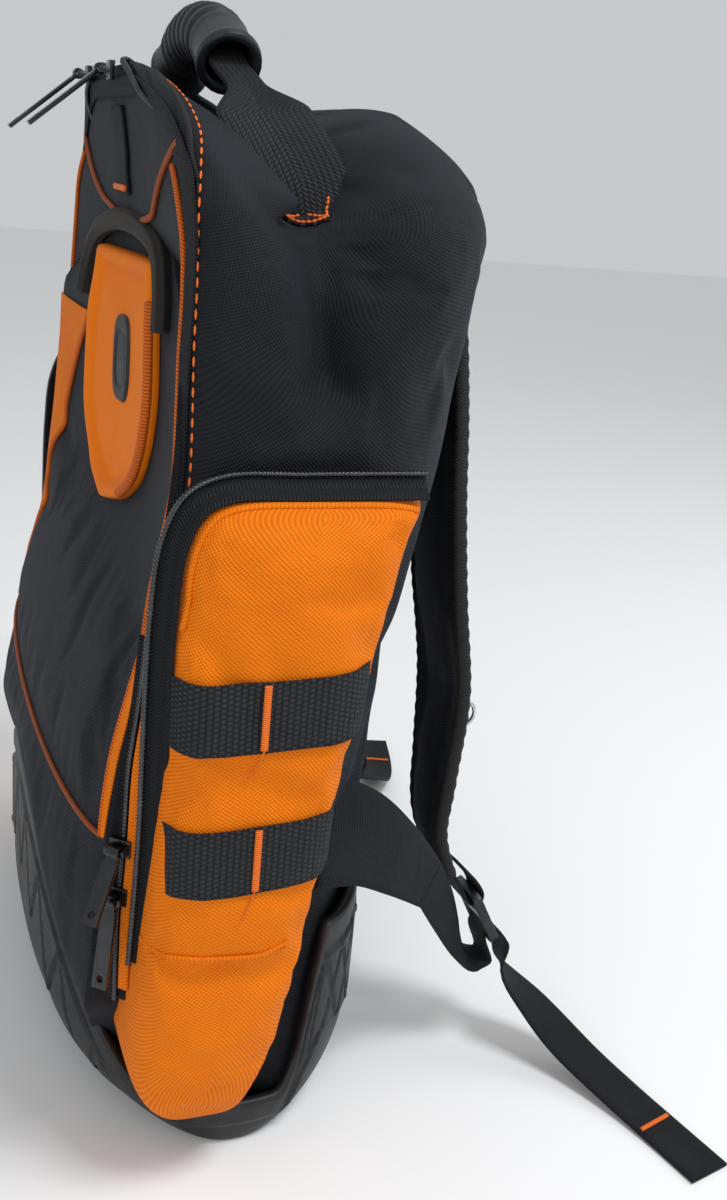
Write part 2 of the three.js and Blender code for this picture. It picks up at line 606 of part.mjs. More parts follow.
// Places across, back and up, as shares of the body's half width, rear and height
const behind = (rows) => table('across back height', rows).map((row) => new THREE.Vector3(
  row.across * BODY_WIDTH / 2, row.back * BODY_REAR, row.height * BODY_HEIGHT));

// Right shoulder strap, wing, webbing and buckle. The left side is mirrored.
const strapRoute = behind([
  [0.233, 0.973, 0.7984],
  [0.279, 0.973, 0.7531],
  [0.349, 0.955, 0.6955],
  [0.436, 0.928, 0.6173],
  [0.494, 0.946, 0.5247],
  [0.529, 1.000, 0.4218],
  [0.552, 0.991, 0.3292],
  [0.576, 0.982, 0.2613],
  [0.610, 1.045, 0.2119],
]);
const strapWidthRows = table('share width', [[0, 0.95], [0.25, 1], [0.6, 0.95], [0.85, 0.7], [1, 0.5]]);
const strap = solidOf(carried(strapRoute, 2, () => RIGHT, (share) => padSection(
  STRAP_WIDTH * look(strapWidthRows, 'share', share, 'width'), STRAP_THICK))).subtract(clearOf(bodySolid));

// Ladder buckle: a frame with a wide slot at its foot for the webbing and a narrow one at its head
const buckleShape = () => {
  const [w, l] = [BUCKLE_WIDTH / 2, BUCKLE_LENGTH / 2];
  const outline = new THREE.Shape();
  outline.moveTo(-w + BUCKLE_CORNER, -l);
  outline.lineTo(w - BUCKLE_CORNER, -l);
  outline.lineTo(w, -l + BUCKLE_CORNER);
  outline.lineTo(w, l - BUCKLE_CORNER);
  outline.lineTo(w - BUCKLE_CORNER, l);
  outline.lineTo(-w + BUCKLE_CORNER, l);
  outline.lineTo(-w, l - BUCKLE_CORNER);
  outline.lineTo(-w, -l + BUCKLE_CORNER);
  const slot = (low, high) => {
    const half = LOWER_WEBBING / 2 + 1;
    const hole = new THREE.Path();
    hole.moveTo(-half, low);
    hole.lineTo(-half, high);
    hole.lineTo(half, high);
    hole.lineTo(half, low);
    outline.holes.push(hole);
  };
  slot(-l + BUCKLE_BAR, 1);
  slot(1 + BUCKLE_BAR, l - BUCKLE_BAR);
  return outline;
};
const buckleGeometry = new THREE.ExtrudeGeometry(buckleShape(), { depth: BUCKLE_THICK, bevelEnabled: false })
  .translate(0, 0, -BUCKLE_THICK / 2);
const [bucklePlace] = behind([[0.64, 1.243, 0.1564]]);
const buckleUp = new THREE.Vector3(-0.22, -0.42, 0.88).normalize();
const buckleOut = new THREE.Vector3().crossVectors(new THREE.Vector3(1, 0, 0), buckleUp).normalize().negate();
const buckleSide = new THREE.Vector3().crossVectors(buckleUp, buckleOut).normalize();
const buckleFrame = new THREE.Matrix4().makeBasis(buckleSide, buckleUp, buckleOut).setPosition(bucklePlace);

// Webbing: from the wing, up through the buckle's slot, round its lower bar and down to the floor
const barPlace = new THREE.Vector3(0, BUCKLE_BAR / 2 - BUCKLE_LENGTH / 2, 0);
const onBuckle = (x, y, z) => new THREE.Vector3(x, y, z).applyMatrix4(buckleFrame);
const webbingStart = behind([
  [0.762, 0.883, 0.2263],
  [0.727, 1.000, 0.1811],
  [0.692, 1.117, 0.1337],
  [0.674, 1.207, 0.1049],
]);
const webbingTurn = Array.from({ length: 5 }, (_, i) => {
  const angle = Math.PI * i / 4;
  return onBuckle(0, barPlace.y + TURN_RADIUS * Math.sin(angle), -TURN_RADIUS * Math.cos(angle));
});
const webbingTail = behind([
  [0.709, 1.369, 0.0947],
  [0.797, 1.505, 0.0576],
  [0.919, 1.640, 0.0267],
  [1.070, 1.757, 0.0103],
  [1.233, 1.847, 0.0037],
  [1.413, 1.919, 0.0029],
]);
const webbingRoute = [
  ...webbingStart, onBuckle(0, barPlace.y - 12, -TURN_RADIUS - 2), ...webbingTurn,
  onBuckle(0, barPlace.y - 9, TURN_RADIUS + 1), ...webbingTail,
];
const slanted = new THREE.Vector3(-0.49, 0.54, 0.69);
const webbingWidth = (share) => {
  const atBuckle = buckleSide.clone();
  const onFloor = new THREE.Vector3(-0.3, 0.95, 0);
  if (share < 0.5) return slanted.clone().lerp(atBuckle, ease(share / 0.26));
  return atBuckle.lerp(onFloor, ease((share - 0.62) / 0.2));
};
const strapWebbing = solidOf(carried(webbingRoute, 3, webbingWidth, () => flat(LOWER_WEBBING, WEBBING_THICK)));

// Keeper: a short loop of webbing from the padded strap round the buckle's upper bar
const keeperBar = BUCKLE_LENGTH / 2 - BUCKLE_BAR / 2;
const keeperTurn = Array.from({ length: 5 }, (_, i) => {
  const angle = Math.PI * i / 4;
  return onBuckle(0, keeperBar - TURN_RADIUS * Math.sin(angle), -TURN_RADIUS * Math.cos(angle));
});
const keeperRoute = [
  onBuckle(0, keeperBar + 24, -TURN_RADIUS - 2), onBuckle(0, keeperBar + 8, -TURN_RADIUS), ...keeperTurn,
  onBuckle(0, keeperBar + 8, TURN_RADIUS - 1), onBuckle(0, keeperBar + 16, TURN_RADIUS - 4),
];
const keeper = solidOf(carried(keeperRoute, 3, () => buckleSide, () => flat(LOWER_WEBBING, WEBBING_THICK)))
  .subtract(clearOf(strap));

// Wing: a flat cloth triangle from the body's rear corner to the webbing
const wingRoute = behind([
  [0.919, 0.270, 0.3333],
  [0.884, 0.468, 0.3128],
  [0.837, 0.667, 0.2757],
  [0.797, 0.784, 0.2490],
  [0.750, 0.910, 0.2181],
]);
const wingSection = (share) => flat(LOWER_WEBBING * (2.1 - 1.1 * share), CLOTH);
const wing = solidOf(carried(wingRoute, 2, () => slanted, wingSection))
  .subtract(clearOf(bodySolid.add(sidePocketSolid).add(strapWebbing)));

const frontAndSides = bothSides([sidePocketSolid, pocketSolid, crescent(1), crescent(-1)]
  .reduce((sum, solid) => sum.add(solid), bodySolid));
const sideZip = solidOf(carried(sideZipRoute, 2, facing(1, 0, 0), () => flat(SIDE_ZIP_WIDTH, TAPE)))
  .subtract(clearOf(frontAndSides));

// Zip down the side edge of the front pocket, and the orange strip of the gusset beside it
const sideEdge = (x, edge, from, to) => [0, 1 / 3, 2 / 3, 1].map((share) => {
  const z = THREE.MathUtils.lerp(from, to, share);
  return new THREE.Vector3(x, -BASE_FRONT * look(pocketRows, 'height', z / POCKET_HEIGHT, 'edge') + edge, z);
});
const diagonal = facing(0.75, -0.66, 0);
const pocketZipRoute = sideEdge(POCKET_WIDTH / 2, 1.5, 0.224 * POCKET_HEIGHT, 0.637 * POCKET_HEIGHT);
const pocketZip = solidOf(carried(pocketZipRoute, 3, diagonal, () => flat(POCKET_ZIP_WIDTH, TAPE)))
  .subtract(clearOf(frontAndSides));
const gussetRoute = sideEdge(POCKET_WIDTH / 2 + 8, 7, 0.243 * POCKET_HEIGHT, 0.706 * POCKET_HEIGHT);
const gusset = solidOf(carried(gussetRoute, 3, diagonal, () => flat(GUSSET_WIDTH, TAPE)))
  .subtract(clearOf(bothSides(bodySolid.add(sidePocketSolid)).add(sideZip).add(pocketZip)));

// Slider and pull: the pull's eye turns on the slider's bar. Local X is the bar, Y the slider's face, -Z the pull.
const box = (w, d, h, x, y, z) => solidOf(new THREE.BoxGeometry(w, d, h).translate(x, y, z));
const barOf = (radius, length) => solidOf(new THREE.CylinderGeometry(radius, radius, length, 16)
  .rotateZ(Math.PI / 2).translate(0, BAR_LIFT, 0));
const postOf = (side) => box(POST, BAR_LIFT + BAR_RADIUS, 3,
  side * (EYE_WIDTH / 2 + CLEAR + POST / 2), (BAR_LIFT + BAR_RADIUS) / 2, 0);
const slider = box(SLIDER_WIDTH, SLIDER_THICK, SLIDER_LENGTH, 0, SLIDER_THICK / 2, 0)
  .add(postOf(1)).add(postOf(-1)).add(barOf(BAR_RADIUS, EYE_WIDTH + 2 * CLEAR + POST));
const pull = (length, lean) => {
  const hole = new THREE.CylinderGeometry(PULL_HOLE, PULL_HOLE, 9, 14).translate(0, BAR_LIFT, 3.5 - length);
  const tab = box(PULL_WIDTH, PULL_THICK, length, 0, BAR_LIFT, -length / 2 - 1)
    .subtract(solidOf(hole))
    .intersect(solidOf(new THREE.BoxGeometry(PULL_WIDTH, 9, 2 * length).translate(0, BAR_LIFT, -length / 2)));
  const neck = box(EYE_WIDTH, PULL_THICK, 6, 0, BAR_LIFT, -3);
  const cutBack = box(PULL_WIDTH + 1, 9, 5, 0, BAR_LIFT, -1.5);
  const whole = tab.subtract(cutBack).add(neck).add(barOf(EYE_RADIUS, EYE_WIDTH))
    .subtract(barOf(BAR_RADIUS + CLEAR, PULL_WIDTH + 2));
  return whole.translate([0, -BAR_LIFT, 0]).rotate([lean, 0, 0]).translate([0, BAR_LIFT, 0]);
};
const placed = (solid, barAlong, faceAlong, place) => {
  const up = new THREE.Vector3().crossVectors(barAlong, faceAlong);
  const turn = new THREE.Matrix4().makeBasis(barAlong, faceAlong, up).setPosition(place);
  return solid.transform(turn.toArray());
};
const topPulls = table('name across length', [['near', 20, 1], ['far', -50, 1.08]]).map((row) => {
  const height = 0.984 * BODY_HEIGHT;
  const place = new THREE.Vector3(row.across, frontOf(row.across, height) - 2 * CLEAR - TAPE, height);
  return { ...row, place, bar: new THREE.Vector3(-1, 0, 0), out: FORWARD, lean: TOP_LEAN,
    reach: TOP_PULL_LENGTH * row.length };
});
const sidePulls = table('name height length lean', [
  ['upper', UPPER_PULL, 1, 36], ['lower', LOWER_PULL, 1.3, 10],
]).map((row) => {
  const out = new THREE.Vector3(0.75, -0.66, 0).normalize();
  const spot = sideEdge(POCKET_WIDTH / 2, 1.5, row.height, row.height)[0].addScaledVector(out, 2 * CLEAR + TAPE);
  return { ...row, place: spot, bar: new THREE.Vector3(0, 0, 1).cross(out).negate(), out,
    reach: SIDE_PULL_LENGTH * row.length };
});

const group = new THREE.Group();

// Materials
const material = (color, roughness, metalness = 0) => new THREE.MeshStandardMaterial({
  color, roughness, metalness,
});
const blackCloth = material(0x17191c, 0.85);
const orangeCloth = material(0xef8a12, 0.8);
const webbingBlack = material(0x101112, 0.9);
const rubber = material(0x232527, 0.6);
const zipBlack = material(0x0d0d0e, 0.6);
const plastic = material(0x131416, 0.45);
const steel = material(0xb5b8bc, 0.3, 1);

const add = (name, shape, surface) => {
  const geometry = shape.isBufferGeometry ? shape : geometryOf(mainPiece(shape).simplify(FINEST));
  const mesh = new THREE.Mesh(geometry, surface);
  mesh.name = name;
  group.add(mesh);
};

const mirrored = (shape) => (shape.isBufferGeometry ? solidOf(shape) : shape).mirror([1, 0, 0]);
const addPair = (name, shape, surface) => {
  add(`${name}_right`, shape, surface);
  add(`${name}_left`, mirrored(shape), surface);
};

add('rubber_base', baseGeometry, rubber);
add('main_body', bodyShell, blackCloth);
add('front_panel', doorPanel, blackCloth);
add('main_zip', mainZip, zipBlack);
add('front_pocket', frontPocket, blackCloth);
add('pocket_crescent_right', crescent(1), orangeCloth);
add('pocket_crescent_left', crescent(-1), orangeCloth);
add('tongue_panel', tongue, orangeCloth);
add('tongue_badge', badge, rubber);
add('pocket_binding', binding, webbingBlack);
add('front_strip', frontStrip, webbingBlack);
addPair('side_pocket', sidePocket, orangeCloth);
addPair('side_zip', sideZip, zipBlack);
addPair('upper_tool_loop', toolLoop(UPPER_LOOP), webbingBlack);
addPair('lower_tool_loop', toolLoop(LOWER_LOOP), webbingBlack);
add('handle_grip', grip, rubber);
add('handle_strap', handleStrap, webbingBlack);
addPair('shoulder_strap', strap, blackCloth);
addPair('strap_buckle', buckleGeometry.clone().applyMatrix4(buckleFrame), plastic);
addPair('strap_webbing', strapWebbing, webbingBlack);
addPair('strap_keeper', keeper, webbingBlack);
addPair('strap_wing', wing, blackCloth);
addPair('pocket_zip', pocketZip, zipBlack);
addPair('gusset_strip', gusset, orangeCloth);
const addPull = (kind, spot) => {
  add(`${kind}_slider_${spot.name}`,
    placed(slider, spot.bar, spot.out, spot.place).subtract(clearOf(mainZip.add(pocketZip))), steel);
  add(`${kind}_pull_${spot.name}`, placed(pull(spot.reach, spot.lean), spot.bar, spot.out, spot.place), plastic);
};
topPulls.forEach((spot) => addPull('top', spot));
sidePulls.forEach((spot) => addPull('side', spot));

export default group;
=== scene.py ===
import math
from bisect import bisect_right

import bmesh
import bpy
import numpy as np
from mathutils import Matrix, Vector, noise
from mathutils.bvhtree import BVHTree


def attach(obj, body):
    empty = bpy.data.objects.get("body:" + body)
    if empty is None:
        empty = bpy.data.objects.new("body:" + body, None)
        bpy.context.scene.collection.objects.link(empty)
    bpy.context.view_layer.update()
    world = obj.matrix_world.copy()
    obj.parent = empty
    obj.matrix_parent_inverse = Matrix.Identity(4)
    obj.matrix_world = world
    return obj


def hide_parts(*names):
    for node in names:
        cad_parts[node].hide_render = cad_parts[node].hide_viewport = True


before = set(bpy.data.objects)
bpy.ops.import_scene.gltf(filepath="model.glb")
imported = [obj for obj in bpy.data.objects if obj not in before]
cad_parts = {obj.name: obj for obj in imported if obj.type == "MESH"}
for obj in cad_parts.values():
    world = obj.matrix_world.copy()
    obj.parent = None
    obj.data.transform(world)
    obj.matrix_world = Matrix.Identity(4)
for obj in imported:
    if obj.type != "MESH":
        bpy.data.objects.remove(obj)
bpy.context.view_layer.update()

MM = 0.001

# Sizes of the bag in millimetres
BODY_HEIGHT, BODY_HALF, BODY_FRONT, BODY_REAR = 486, 172, 60, 111
FOLD_PLACE, FOLD_SPREAD, FOLD_DEPTH, FOLD_CENTRE, HUMP_DROP = 3, 32, 46, 0.74, 12
DOOR_RIM, DOOR_RECESS, DOOR_TILT = 15, 20, 0.12
BASE_HALF, BASE_FRONT, BASE_REAR, BASE_WALL, SOLE = 170, 90, 79, 4, 5
SOLE_ROUNDING, SIDE_ROUNDING, LIP_HEIGHT = 50, 0.14, 25
FRONT_RIM_HEIGHT, REAR_RIM_HEIGHT = 137, 112
POCKET_HEIGHT, POCKET_HALF, SEAM_HEIGHT = 411, 165, 171
TONGUE_HALF, TONGUE_LENGTH, TONGUE_TOP = 61, 122, 398
SIDE_TOP, SIDE_FOOT, SIDE_DEPTH, SIDE_BULGE, SIDE_INSIDE = 324, 29, 92, 29, 140
WEBBING = 30
GRIP_HALF, GRIP_RISE, GRIP_TOP, GRIP_RADIUS, GRIP_PLACE = 54, 15, 513, 14, -8
GRIP_BORE = 10.5
LOWER_WEBBING, WEBBING_THICK = 25, 1.6
BUCKLE_LENGTH, BUCKLE_BAR, TURN_RADIUS = 30, 4, 4.7


# Tables and routes

def row_at(rows, place):
    """Every column of a table at a place counted in rows, on smooth steps."""
    last = len(rows) - 1
    place = min(max(place, 0), last)
    low = min(int(place), last - 1)
    t = place - low
    out = []
    for column in range(len(rows[0])):
        value = [rows[min(max(low + k, 0), last)][column] for k in (-1, 0, 1, 2)]
        rise = [value[k + 1] - value[k] for k in range(3)]
        slope = [2 * rise[k] * rise[k + 1] / (rise[k] + rise[k + 1]) if rise[k] * rise[k + 1] > 0 else 0 for k in (0, 1)]
        out.append((2 * t ** 3 - 3 * t ** 2 + 1) * value[1] + (t ** 3 - 2 * t ** 2 + t) * slope[0]
                   + (3 * t ** 2 - 2 * t ** 3) * value[2] + (t ** 3 - t ** 2) * slope[1])
    return out


def row_of(rows, value):
    """The place, counted in rows, where a table's first column has a value."""
    keys = [row[0] for row in rows]
    if value <= keys[0]:
        return 0
    if value >= keys[-1]:
        return len(keys) - 1
    low = bisect_right(keys, value) - 1
    return low + (value - keys[low]) / (keys[low + 1] - keys[low])


def step(value):
    value = min(max(value, 0), 1)
    return value * value * (3 - 2 * value)


def smooth_route(points, count=24):
    """A smooth line through a route's points, with count steps to each span."""
    points = [np.array(point, float) for point in points]
    points = [2 * points[0] - points[1], *points, 2 * points[-1] - points[-2]]
    line = []
    for i in range(1, len(points) - 2):
        four = points[i - 1:i + 3]
        gap = [max(np.linalg.norm(four[k + 1] - four[k]), 1e-4) ** 0.5 for k in range(3)]
        tangent = [((four[k + 1] - four[k]) / gap[k] - (four[k + 2] - four[k]) / (gap[k] + gap[k + 1])
                    + (four[k + 2] - four[k + 1]) / gap[k + 1]) * gap[1] for k in (0, 1)]
        for j in range(count):
            t = j / count
            line.append((2 * t ** 3 - 3 * t ** 2 + 1) * four[1] + (t ** 3 - 2 * t ** 2 + t) * tangent[0]
                        + (3 * t ** 2 - 2 * t ** 3) * four[2] + (t ** 3 - t ** 2) * tangent[1])
    return np.array(line + [points[-2]])


def even(line, spacing):
    """A line's points again, at even distances."""
    line = np.array(line, float)
    reach = np.concatenate([[0], np.cumsum(np.linalg.norm(np.diff(line, axis=0), axis=1))])
    count = max(2, round(reach[-1] / spacing))
    places = np.linspace(0, reach[-1], count + 1)
    return np.stack([np.interp(places, reach, line[:, k]) for k in range(3)], axis=1)


def tangents(line):
    steps = np.gradient(line, axis=0)
    return steps / np.maximum(np.linalg.norm(steps, axis=1, keepdims=True), 1e-9)


# Meshes

def woven(points, wrap=False, middle=0.5):
    """A fine grid laid through rows of points in millimetres, with its surface lengths as its UV map."""
    rows, columns = points.shape[0] - 1, points.shape[1] - 1
    across = np.zeros((rows + 1, columns + 1))
    across[:, 1:] = np.cumsum(np.linalg.norm(np.diff(points, axis=1), axis=2), axis=1)
    across -= across[:, [int(middle * columns)]]
    up = np.zeros((rows + 1, columns + 1))
    up[1:] = np.cumsum(np.linalg.norm(np.diff(points, axis=0), axis=2), axis=0)
    shape = bmesh.new()
    bmesh.ops.create_grid(shape, x_segments=columns, y_segments=rows, size=0.5)
    spots = [(round((vert.co.y + 0.5) * rows), round((vert.co.x + 0.5) * columns)) for vert in shape.verts]
    shape.verts.index_update()
    surface = shape.loops.layers.uv.new("surface")
    for face in shape.faces:
        for loop in face.loops:
            spot = spots[loop.vert.index]
            loop[surface].uv = (across[spot], up[spot])
    for vert, spot in zip(shape.verts, spots):
        vert.co = Vector(points[spot]) * MM
    if wrap:
        bmesh.ops.remove_doubles(shape, verts=shape.verts, dist=2e-6)
    return shape


def lofted(place, columns, rows):
    """A closed form round an upright line: place(u, v) with u round it and v up, closed at both ends."""
    rings = [[place(c / columns, r / rows) for c in range(columns)] for r in range(rows + 1)]
    rings = [ring + [ring[0]] for ring in rings]
    first, last = np.mean(rings[0][:-1], axis=0), np.mean(rings[-1][:-1], axis=0)
    rings = [[first] * (columns + 1), *rings, [last] * (columns + 1)]
    return woven(np.array(rings, float), wrap=True)


def swept(line, section, across):
    """A closed form along a line: section(share) gives pairs across and off it, across its width's direction."""
    line = np.array(line, float)
    along = tangents(line)
    rings = []
    for i, (centre, ahead) in enumerate(zip(line, along)):
        share = i / (len(line) - 1)
        wide = np.array(across(share) if callable(across) else across[i] if np.ndim(across) == 2 else across, float)
        wide = wide - ahead * wide.dot(ahead)
        wide /= max(np.linalg.norm(wide), 1e-9)
        off = np.cross(ahead, wide)
        ring = [centre + wide * a + off * b for a, b in section(share)]
        rings.append(ring + [ring[0]])
    count = len(rings[0])
    rings = [[line[0]] * count, *rings, [line[-1]] * count]
    return woven(np.array(rings, float), wrap=True, middle=0.25)


def band(width, thick, count=5):
    """Section of a flat band with soft edges."""
    w, t = width / 2, thick / 2
    across = np.linspace(-w + 0.4 * t, w - 0.4 * t, count)
    return [(a, t) for a in across[::-1]] + [(-w, 0)] + [(a, -t) for a in across] + [(w, 0)]


def rounded(width, thick, count=12, power=1.0):
    """Section of a soft round or flattened roll."""
    out = []
    for i in range(count):
        angle = 2 * math.pi * i / count
        c, s = math.cos(angle), math.sin(angle)
        out.append((width / 2 * math.copysign(abs(c) ** power, c), thick / 2 * math.copysign(abs(s) ** power, s)))
    return out


def piece(name, shape, finish, stands_for=(), body="bag", levels=0, thick=0):
    mesh = bpy.data.meshes.new(name)
    shape.to_mesh(mesh)
    shape.free()
    mesh.polygons.foreach_set("use_smooth", [True] * len(mesh.polygons))
    thing = bpy.data.objects.new(name, mesh)
    bpy.context.scene.collection.objects.link(thing)
    mesh.materials.append(finish[0])
    if thick:
        wall = thing.modifiers.new("wall", "SOLIDIFY")
        wall.thickness = thick * MM
        wall.offset = -1
    if levels:
        finer = thing.modifiers.new("finer", "SUBSURF")
        finer.levels = finer.render_levels = levels
    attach(thing, body)
    if stands_for:
        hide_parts(*stands_for)
    return thing


def pair(name, shape, finish, stands_for=(), **more):
    """A piece on the right and its mirror image on the left."""
    other = shape.copy()
    bmesh.ops.scale(other, vec=(-1, 1, 1), verts=other.verts)
    bmesh.ops.reverse_faces(other, faces=other.faces)
    return [piece(f"{name}_{side}", one, finish, [f"{node}_{side}" for node in stands_for], **more)
            for side, one in (("right", shape), ("left", other))]


def mirrored(line):
    return np.array(line, float) * (-1, 1, 1)


def tree_of(*shapes):
    """What the laid-on pieces are seated against."""
    points, faces = [], []
    for shape in shapes:
        shape.verts.index_update()
        first = len(points)
        points += [vert.co / MM for vert in shape.verts]
        faces += [[first + vert.index for vert in face.verts] for face in shape.faces]
    return BVHTree.FromPolygons(points, faces)


def seat(line, tree, lift):
    """A line's points moved onto a surface and lifted off it, and the surface's directions there."""
    seated, outward = [], []
    for point in line:
        spot, normal, _, _ = tree.find_nearest(Vector(point))
        seated.append(np.array(spot + normal * lift))
        outward.append(np.array(normal))
    return np.array(seated), np.array(outward)


def on_front(tree, x, z, fallback=-60):
    """Where a line from the front meets a surface."""
    hit = tree.ray_cast(Vector((x, -250, z)), Vector((0, 1, 0)))
    return hit[0].y if hit[0] else fallback


def swell(shape, held, growth, cap, pressure=4.0, frames=20):
    """Lets sewn cloth fill out and wrinkle between its seams; held(point) is 1 where a seam keeps it."""
    mesh = bpy.data.meshes.new("filling")
    shape.to_mesh(mesh)
    thing = bpy.data.objects.new("filling", mesh)
    bpy.context.scene.collection.objects.link(thing)
    seams = thing.vertex_groups.new(name="seams")
    for vert in mesh.vertices:
        weight = min(max(held(vert.co / MM), 0), 1)
        if weight > 0:
            seams.add([vert.index], weight, "REPLACE")
    cloth = thing.modifiers.new("cloth", "CLOTH")
    cloth.settings.quality = 6
    cloth.settings.mass = 0.4
    cloth.settings.tension_stiffness = cloth.settings.compression_stiffness = 25
    cloth.settings.shear_stiffness = 12
    cloth.settings.bending_stiffness = 1.5
    cloth.settings.shrink_min = -growth
    cloth.settings.use_pressure = True
    cloth.settings.uniform_pressure_force = pressure
    cloth.settings.vertex_group_mass = "seams"
    cloth.settings.effector_weights.gravity = 0
    cloth.collision_settings.use_collision = False
    cloth.point_cache.frame_start, cloth.point_cache.frame_end = 1, frames
    for number in range(1, frames + 1):
        bpy.context.scene.frame_set(number)
    filled = thing.evaluated_get(bpy.context.evaluated_depsgraph_get()).to_mesh()
    for vert, new in zip(shape.verts, filled.vertices):
        move = new.co - vert.co
        reach = move.length
        if reach > 0:
            vert.co += move * min(1, cap * MM / reach)
    bpy.data.objects.remove(thing)
    bpy.context.scene.frame_set(1)
    return shape


# Finishes

def calc(tree, kind, *values):
    node = tree.nodes.new("ShaderNodeMath")
    node.operation = kind
    for socket, value in zip(node.inputs, values):
        if isinstance(value, (int, float)):
            socket.default_value = value
        else:
            tree.links.new(value, socket)
    return node.outputs[0]


def blend_colours(tree, share, one, other):
    node = tree.nodes.new("ShaderNodeMix")
    node.data_type = "RGBA"
    tree.links.new(share, node.inputs[0])
    for socket, value in ((node.inputs[6], one), (node.inputs[7], other)):
        if isinstance(value, tuple):
            socket.default_value = (*value, 1)
        else:
            tree.links.new(value, socket)
    return node.outputs[2]


def grain(tree, size, detail=3, source="Object"):
    """Soft noise over the object, its patches size millimetres across."""
    where = tree.nodes.new("ShaderNodeTexCoord")
    node = tree.nodes.new("ShaderNodeTexNoise")
    node.inputs["Scale"].default_value = 1 / (size * MM)
    node.inputs["Detail"].default_value = detail
    tree.links.new(where.outputs[source], node.inputs["Vector"])
    return node.outputs["Fac"]


def lengths(tree):
    """The piece's own surface lengths in millimetres, across and along."""
    uv = tree.nodes.new("ShaderNodeUVMap")
    uv.uv_map = "surface"
    parts = tree.nodes.new("ShaderNodeSeparateXYZ")
    tree.links.new(uv.outputs[0], parts.inputs[0])
    return parts.outputs[0], parts.outputs[1]


def wave(tree, length, period, shift=0):
    """A wave from -1 to 1."""
    turned = calc(tree, "MULTIPLY_ADD", length, 2 * math.pi / period, shift)
    return calc(tree, "SINE", turned)


def relief(tree, shader, heights):
    """Bump from (height, millimetres) pairs."""
    last = None
    for height, depth in heights:
        node = tree.nodes.new("ShaderNodeBump")
        node.inputs["Distance"].default_value = depth * MM
        tree.links.new(height, node.inputs["Height"])
        if last:
            tree.links.new(last, node.inputs["Normal"])
        last = node.outputs[0]
    tree.links.new(last, shader.inputs["Normal"])


def finish(name, slot, roughness, metallic=0, sheen=0, sheen_tint=(1, 1, 1), specular=0.5):
    material = bpy.data.materials.new(name)
    material.use_nodes = True
    tree = material.node_tree
    shader = tree.nodes["Principled BSDF"]
    shader.inputs["Roughness"].default_value = roughness
    shader.inputs["Metallic"].default_value = metallic
    shader.inputs["Specular IOR Level"].default_value = specular
    shader.inputs["Sheen Weight"].default_value = sheen
    shader.inputs["Sheen Roughness"].default_value = 0.4
    shader.inputs["Sheen Tint"].default_value = (*sheen_tint, 1)
    return material, slot, tree, shader


def woven_cloth(name, slot, high, low, pitch, roughness, sheen, sheen_tint, depth=0.22):
    """Coarse plain weave: staggered round floats, their tops painted lighter and the gaps between them painted in
    shade.
    """
    material, slot, tree, shader = finish(name, slot, roughness, sheen=sheen, sheen_tint=sheen_tint, specular=0.12)
    across, along = lengths(tree)
    checks = calc(tree, "MULTIPLY", wave(tree, across, 2 * pitch), wave(tree, along, 1.7 * pitch))
    float_height = calc(tree, "MULTIPLY_ADD", checks, 0.5, 0.5)
    thread = calc(tree, "MULTIPLY", grain(tree, 0.6), 0.35)
    height = calc(tree, "ADD", float_height, thread)
    patches = grain(tree, 45, 2)
    # Colour: painted shade in the gaps between floats and lighter float tops, plus broad patches of tone that differ at
    # random; high is the float-top colour, low the painted gap shade.
    shade = calc(tree, "ADD", calc(tree, "MULTIPLY", float_height, 0.75), calc(tree, "MULTIPLY", patches, 0.35))
    tree.links.new(blend_colours(tree, shade, low, high), shader.inputs["Base Color"])
    relief(tree, shader, [(grain(tree, 14, 2), 0.9), (height, depth)])
    return material, slot


def webbing(name, high, low, across_pitch, along_pitch, depth, roughness=0.75):
    """Ribbed webbing: rows of staggered knots, with painted highlight on their tops and painted shade in the gaps
    between them.
    """
    material, slot, tree, shader = finish(name, "webbing", roughness, sheen=0.03, sheen_tint=(0.8, 0.85, 1),
                                          specular=0.2)
    across, along = lengths(tree)
    row = calc(tree, "FLOOR", calc(tree, "DIVIDE", across, across_pitch))
    shift = calc(tree, "MULTIPLY", row, math.pi / 2)
    turned = calc(tree, "MULTIPLY_ADD", along, math.pi / along_pitch, shift)
    knots = calc(tree, "ABSOLUTE", calc(tree, "SINE", turned))
    rows = calc(tree, "ABSOLUTE", wave(tree, across, 2 * across_pitch))
    height = calc(tree, "MULTIPLY", calc(tree, "POWER", rows, 0.5), calc(tree, "POWER", knots, 0.7))
    # Colour: painted highlight on the knot tops and painted shade in the gaps between knots, plus tone that differs at
    # random.
    shade = calc(tree, "ADD", calc(tree, "MULTIPLY", height, 0.7), calc(tree, "MULTIPLY", grain(tree, 20), 0.3))
    tree.links.new(blend_colours(tree, shade, low, high), shader.inputs["Base Color"])
    relief(tree, shader, [(height, depth)])
    return material, slot


def zip_tape(name):
    """Herringbone tape: slanted ribs that turn at every third millimetre, with painted shade in the grooves between
    them.
    """
    material, slot, tree, shader = finish(name, "zip_tape", 0.7, sheen=0.03, sheen_tint=(0.75, 0.85, 1),
                                          specular=0.15)
    across, along = lengths(tree)
    slant = calc(tree, "PINGPONG", across, 3.0)
    ribs = wave(tree, calc(tree, "ADD", along, slant), 1.5)
    height = calc(tree, "MULTIPLY_ADD", ribs, 0.5, 0.5)
    # Colour: painted shade in the grooves between ribs, lighter on the rib tops.
    tree.links.new(blend_colours(tree, height, (0.002, 0.002, 0.0025), (0.018, 0.019, 0.022)),
                   shader.inputs["Base Color"])
    relief(tree, shader, [(height, 0.3)])
    return material, slot


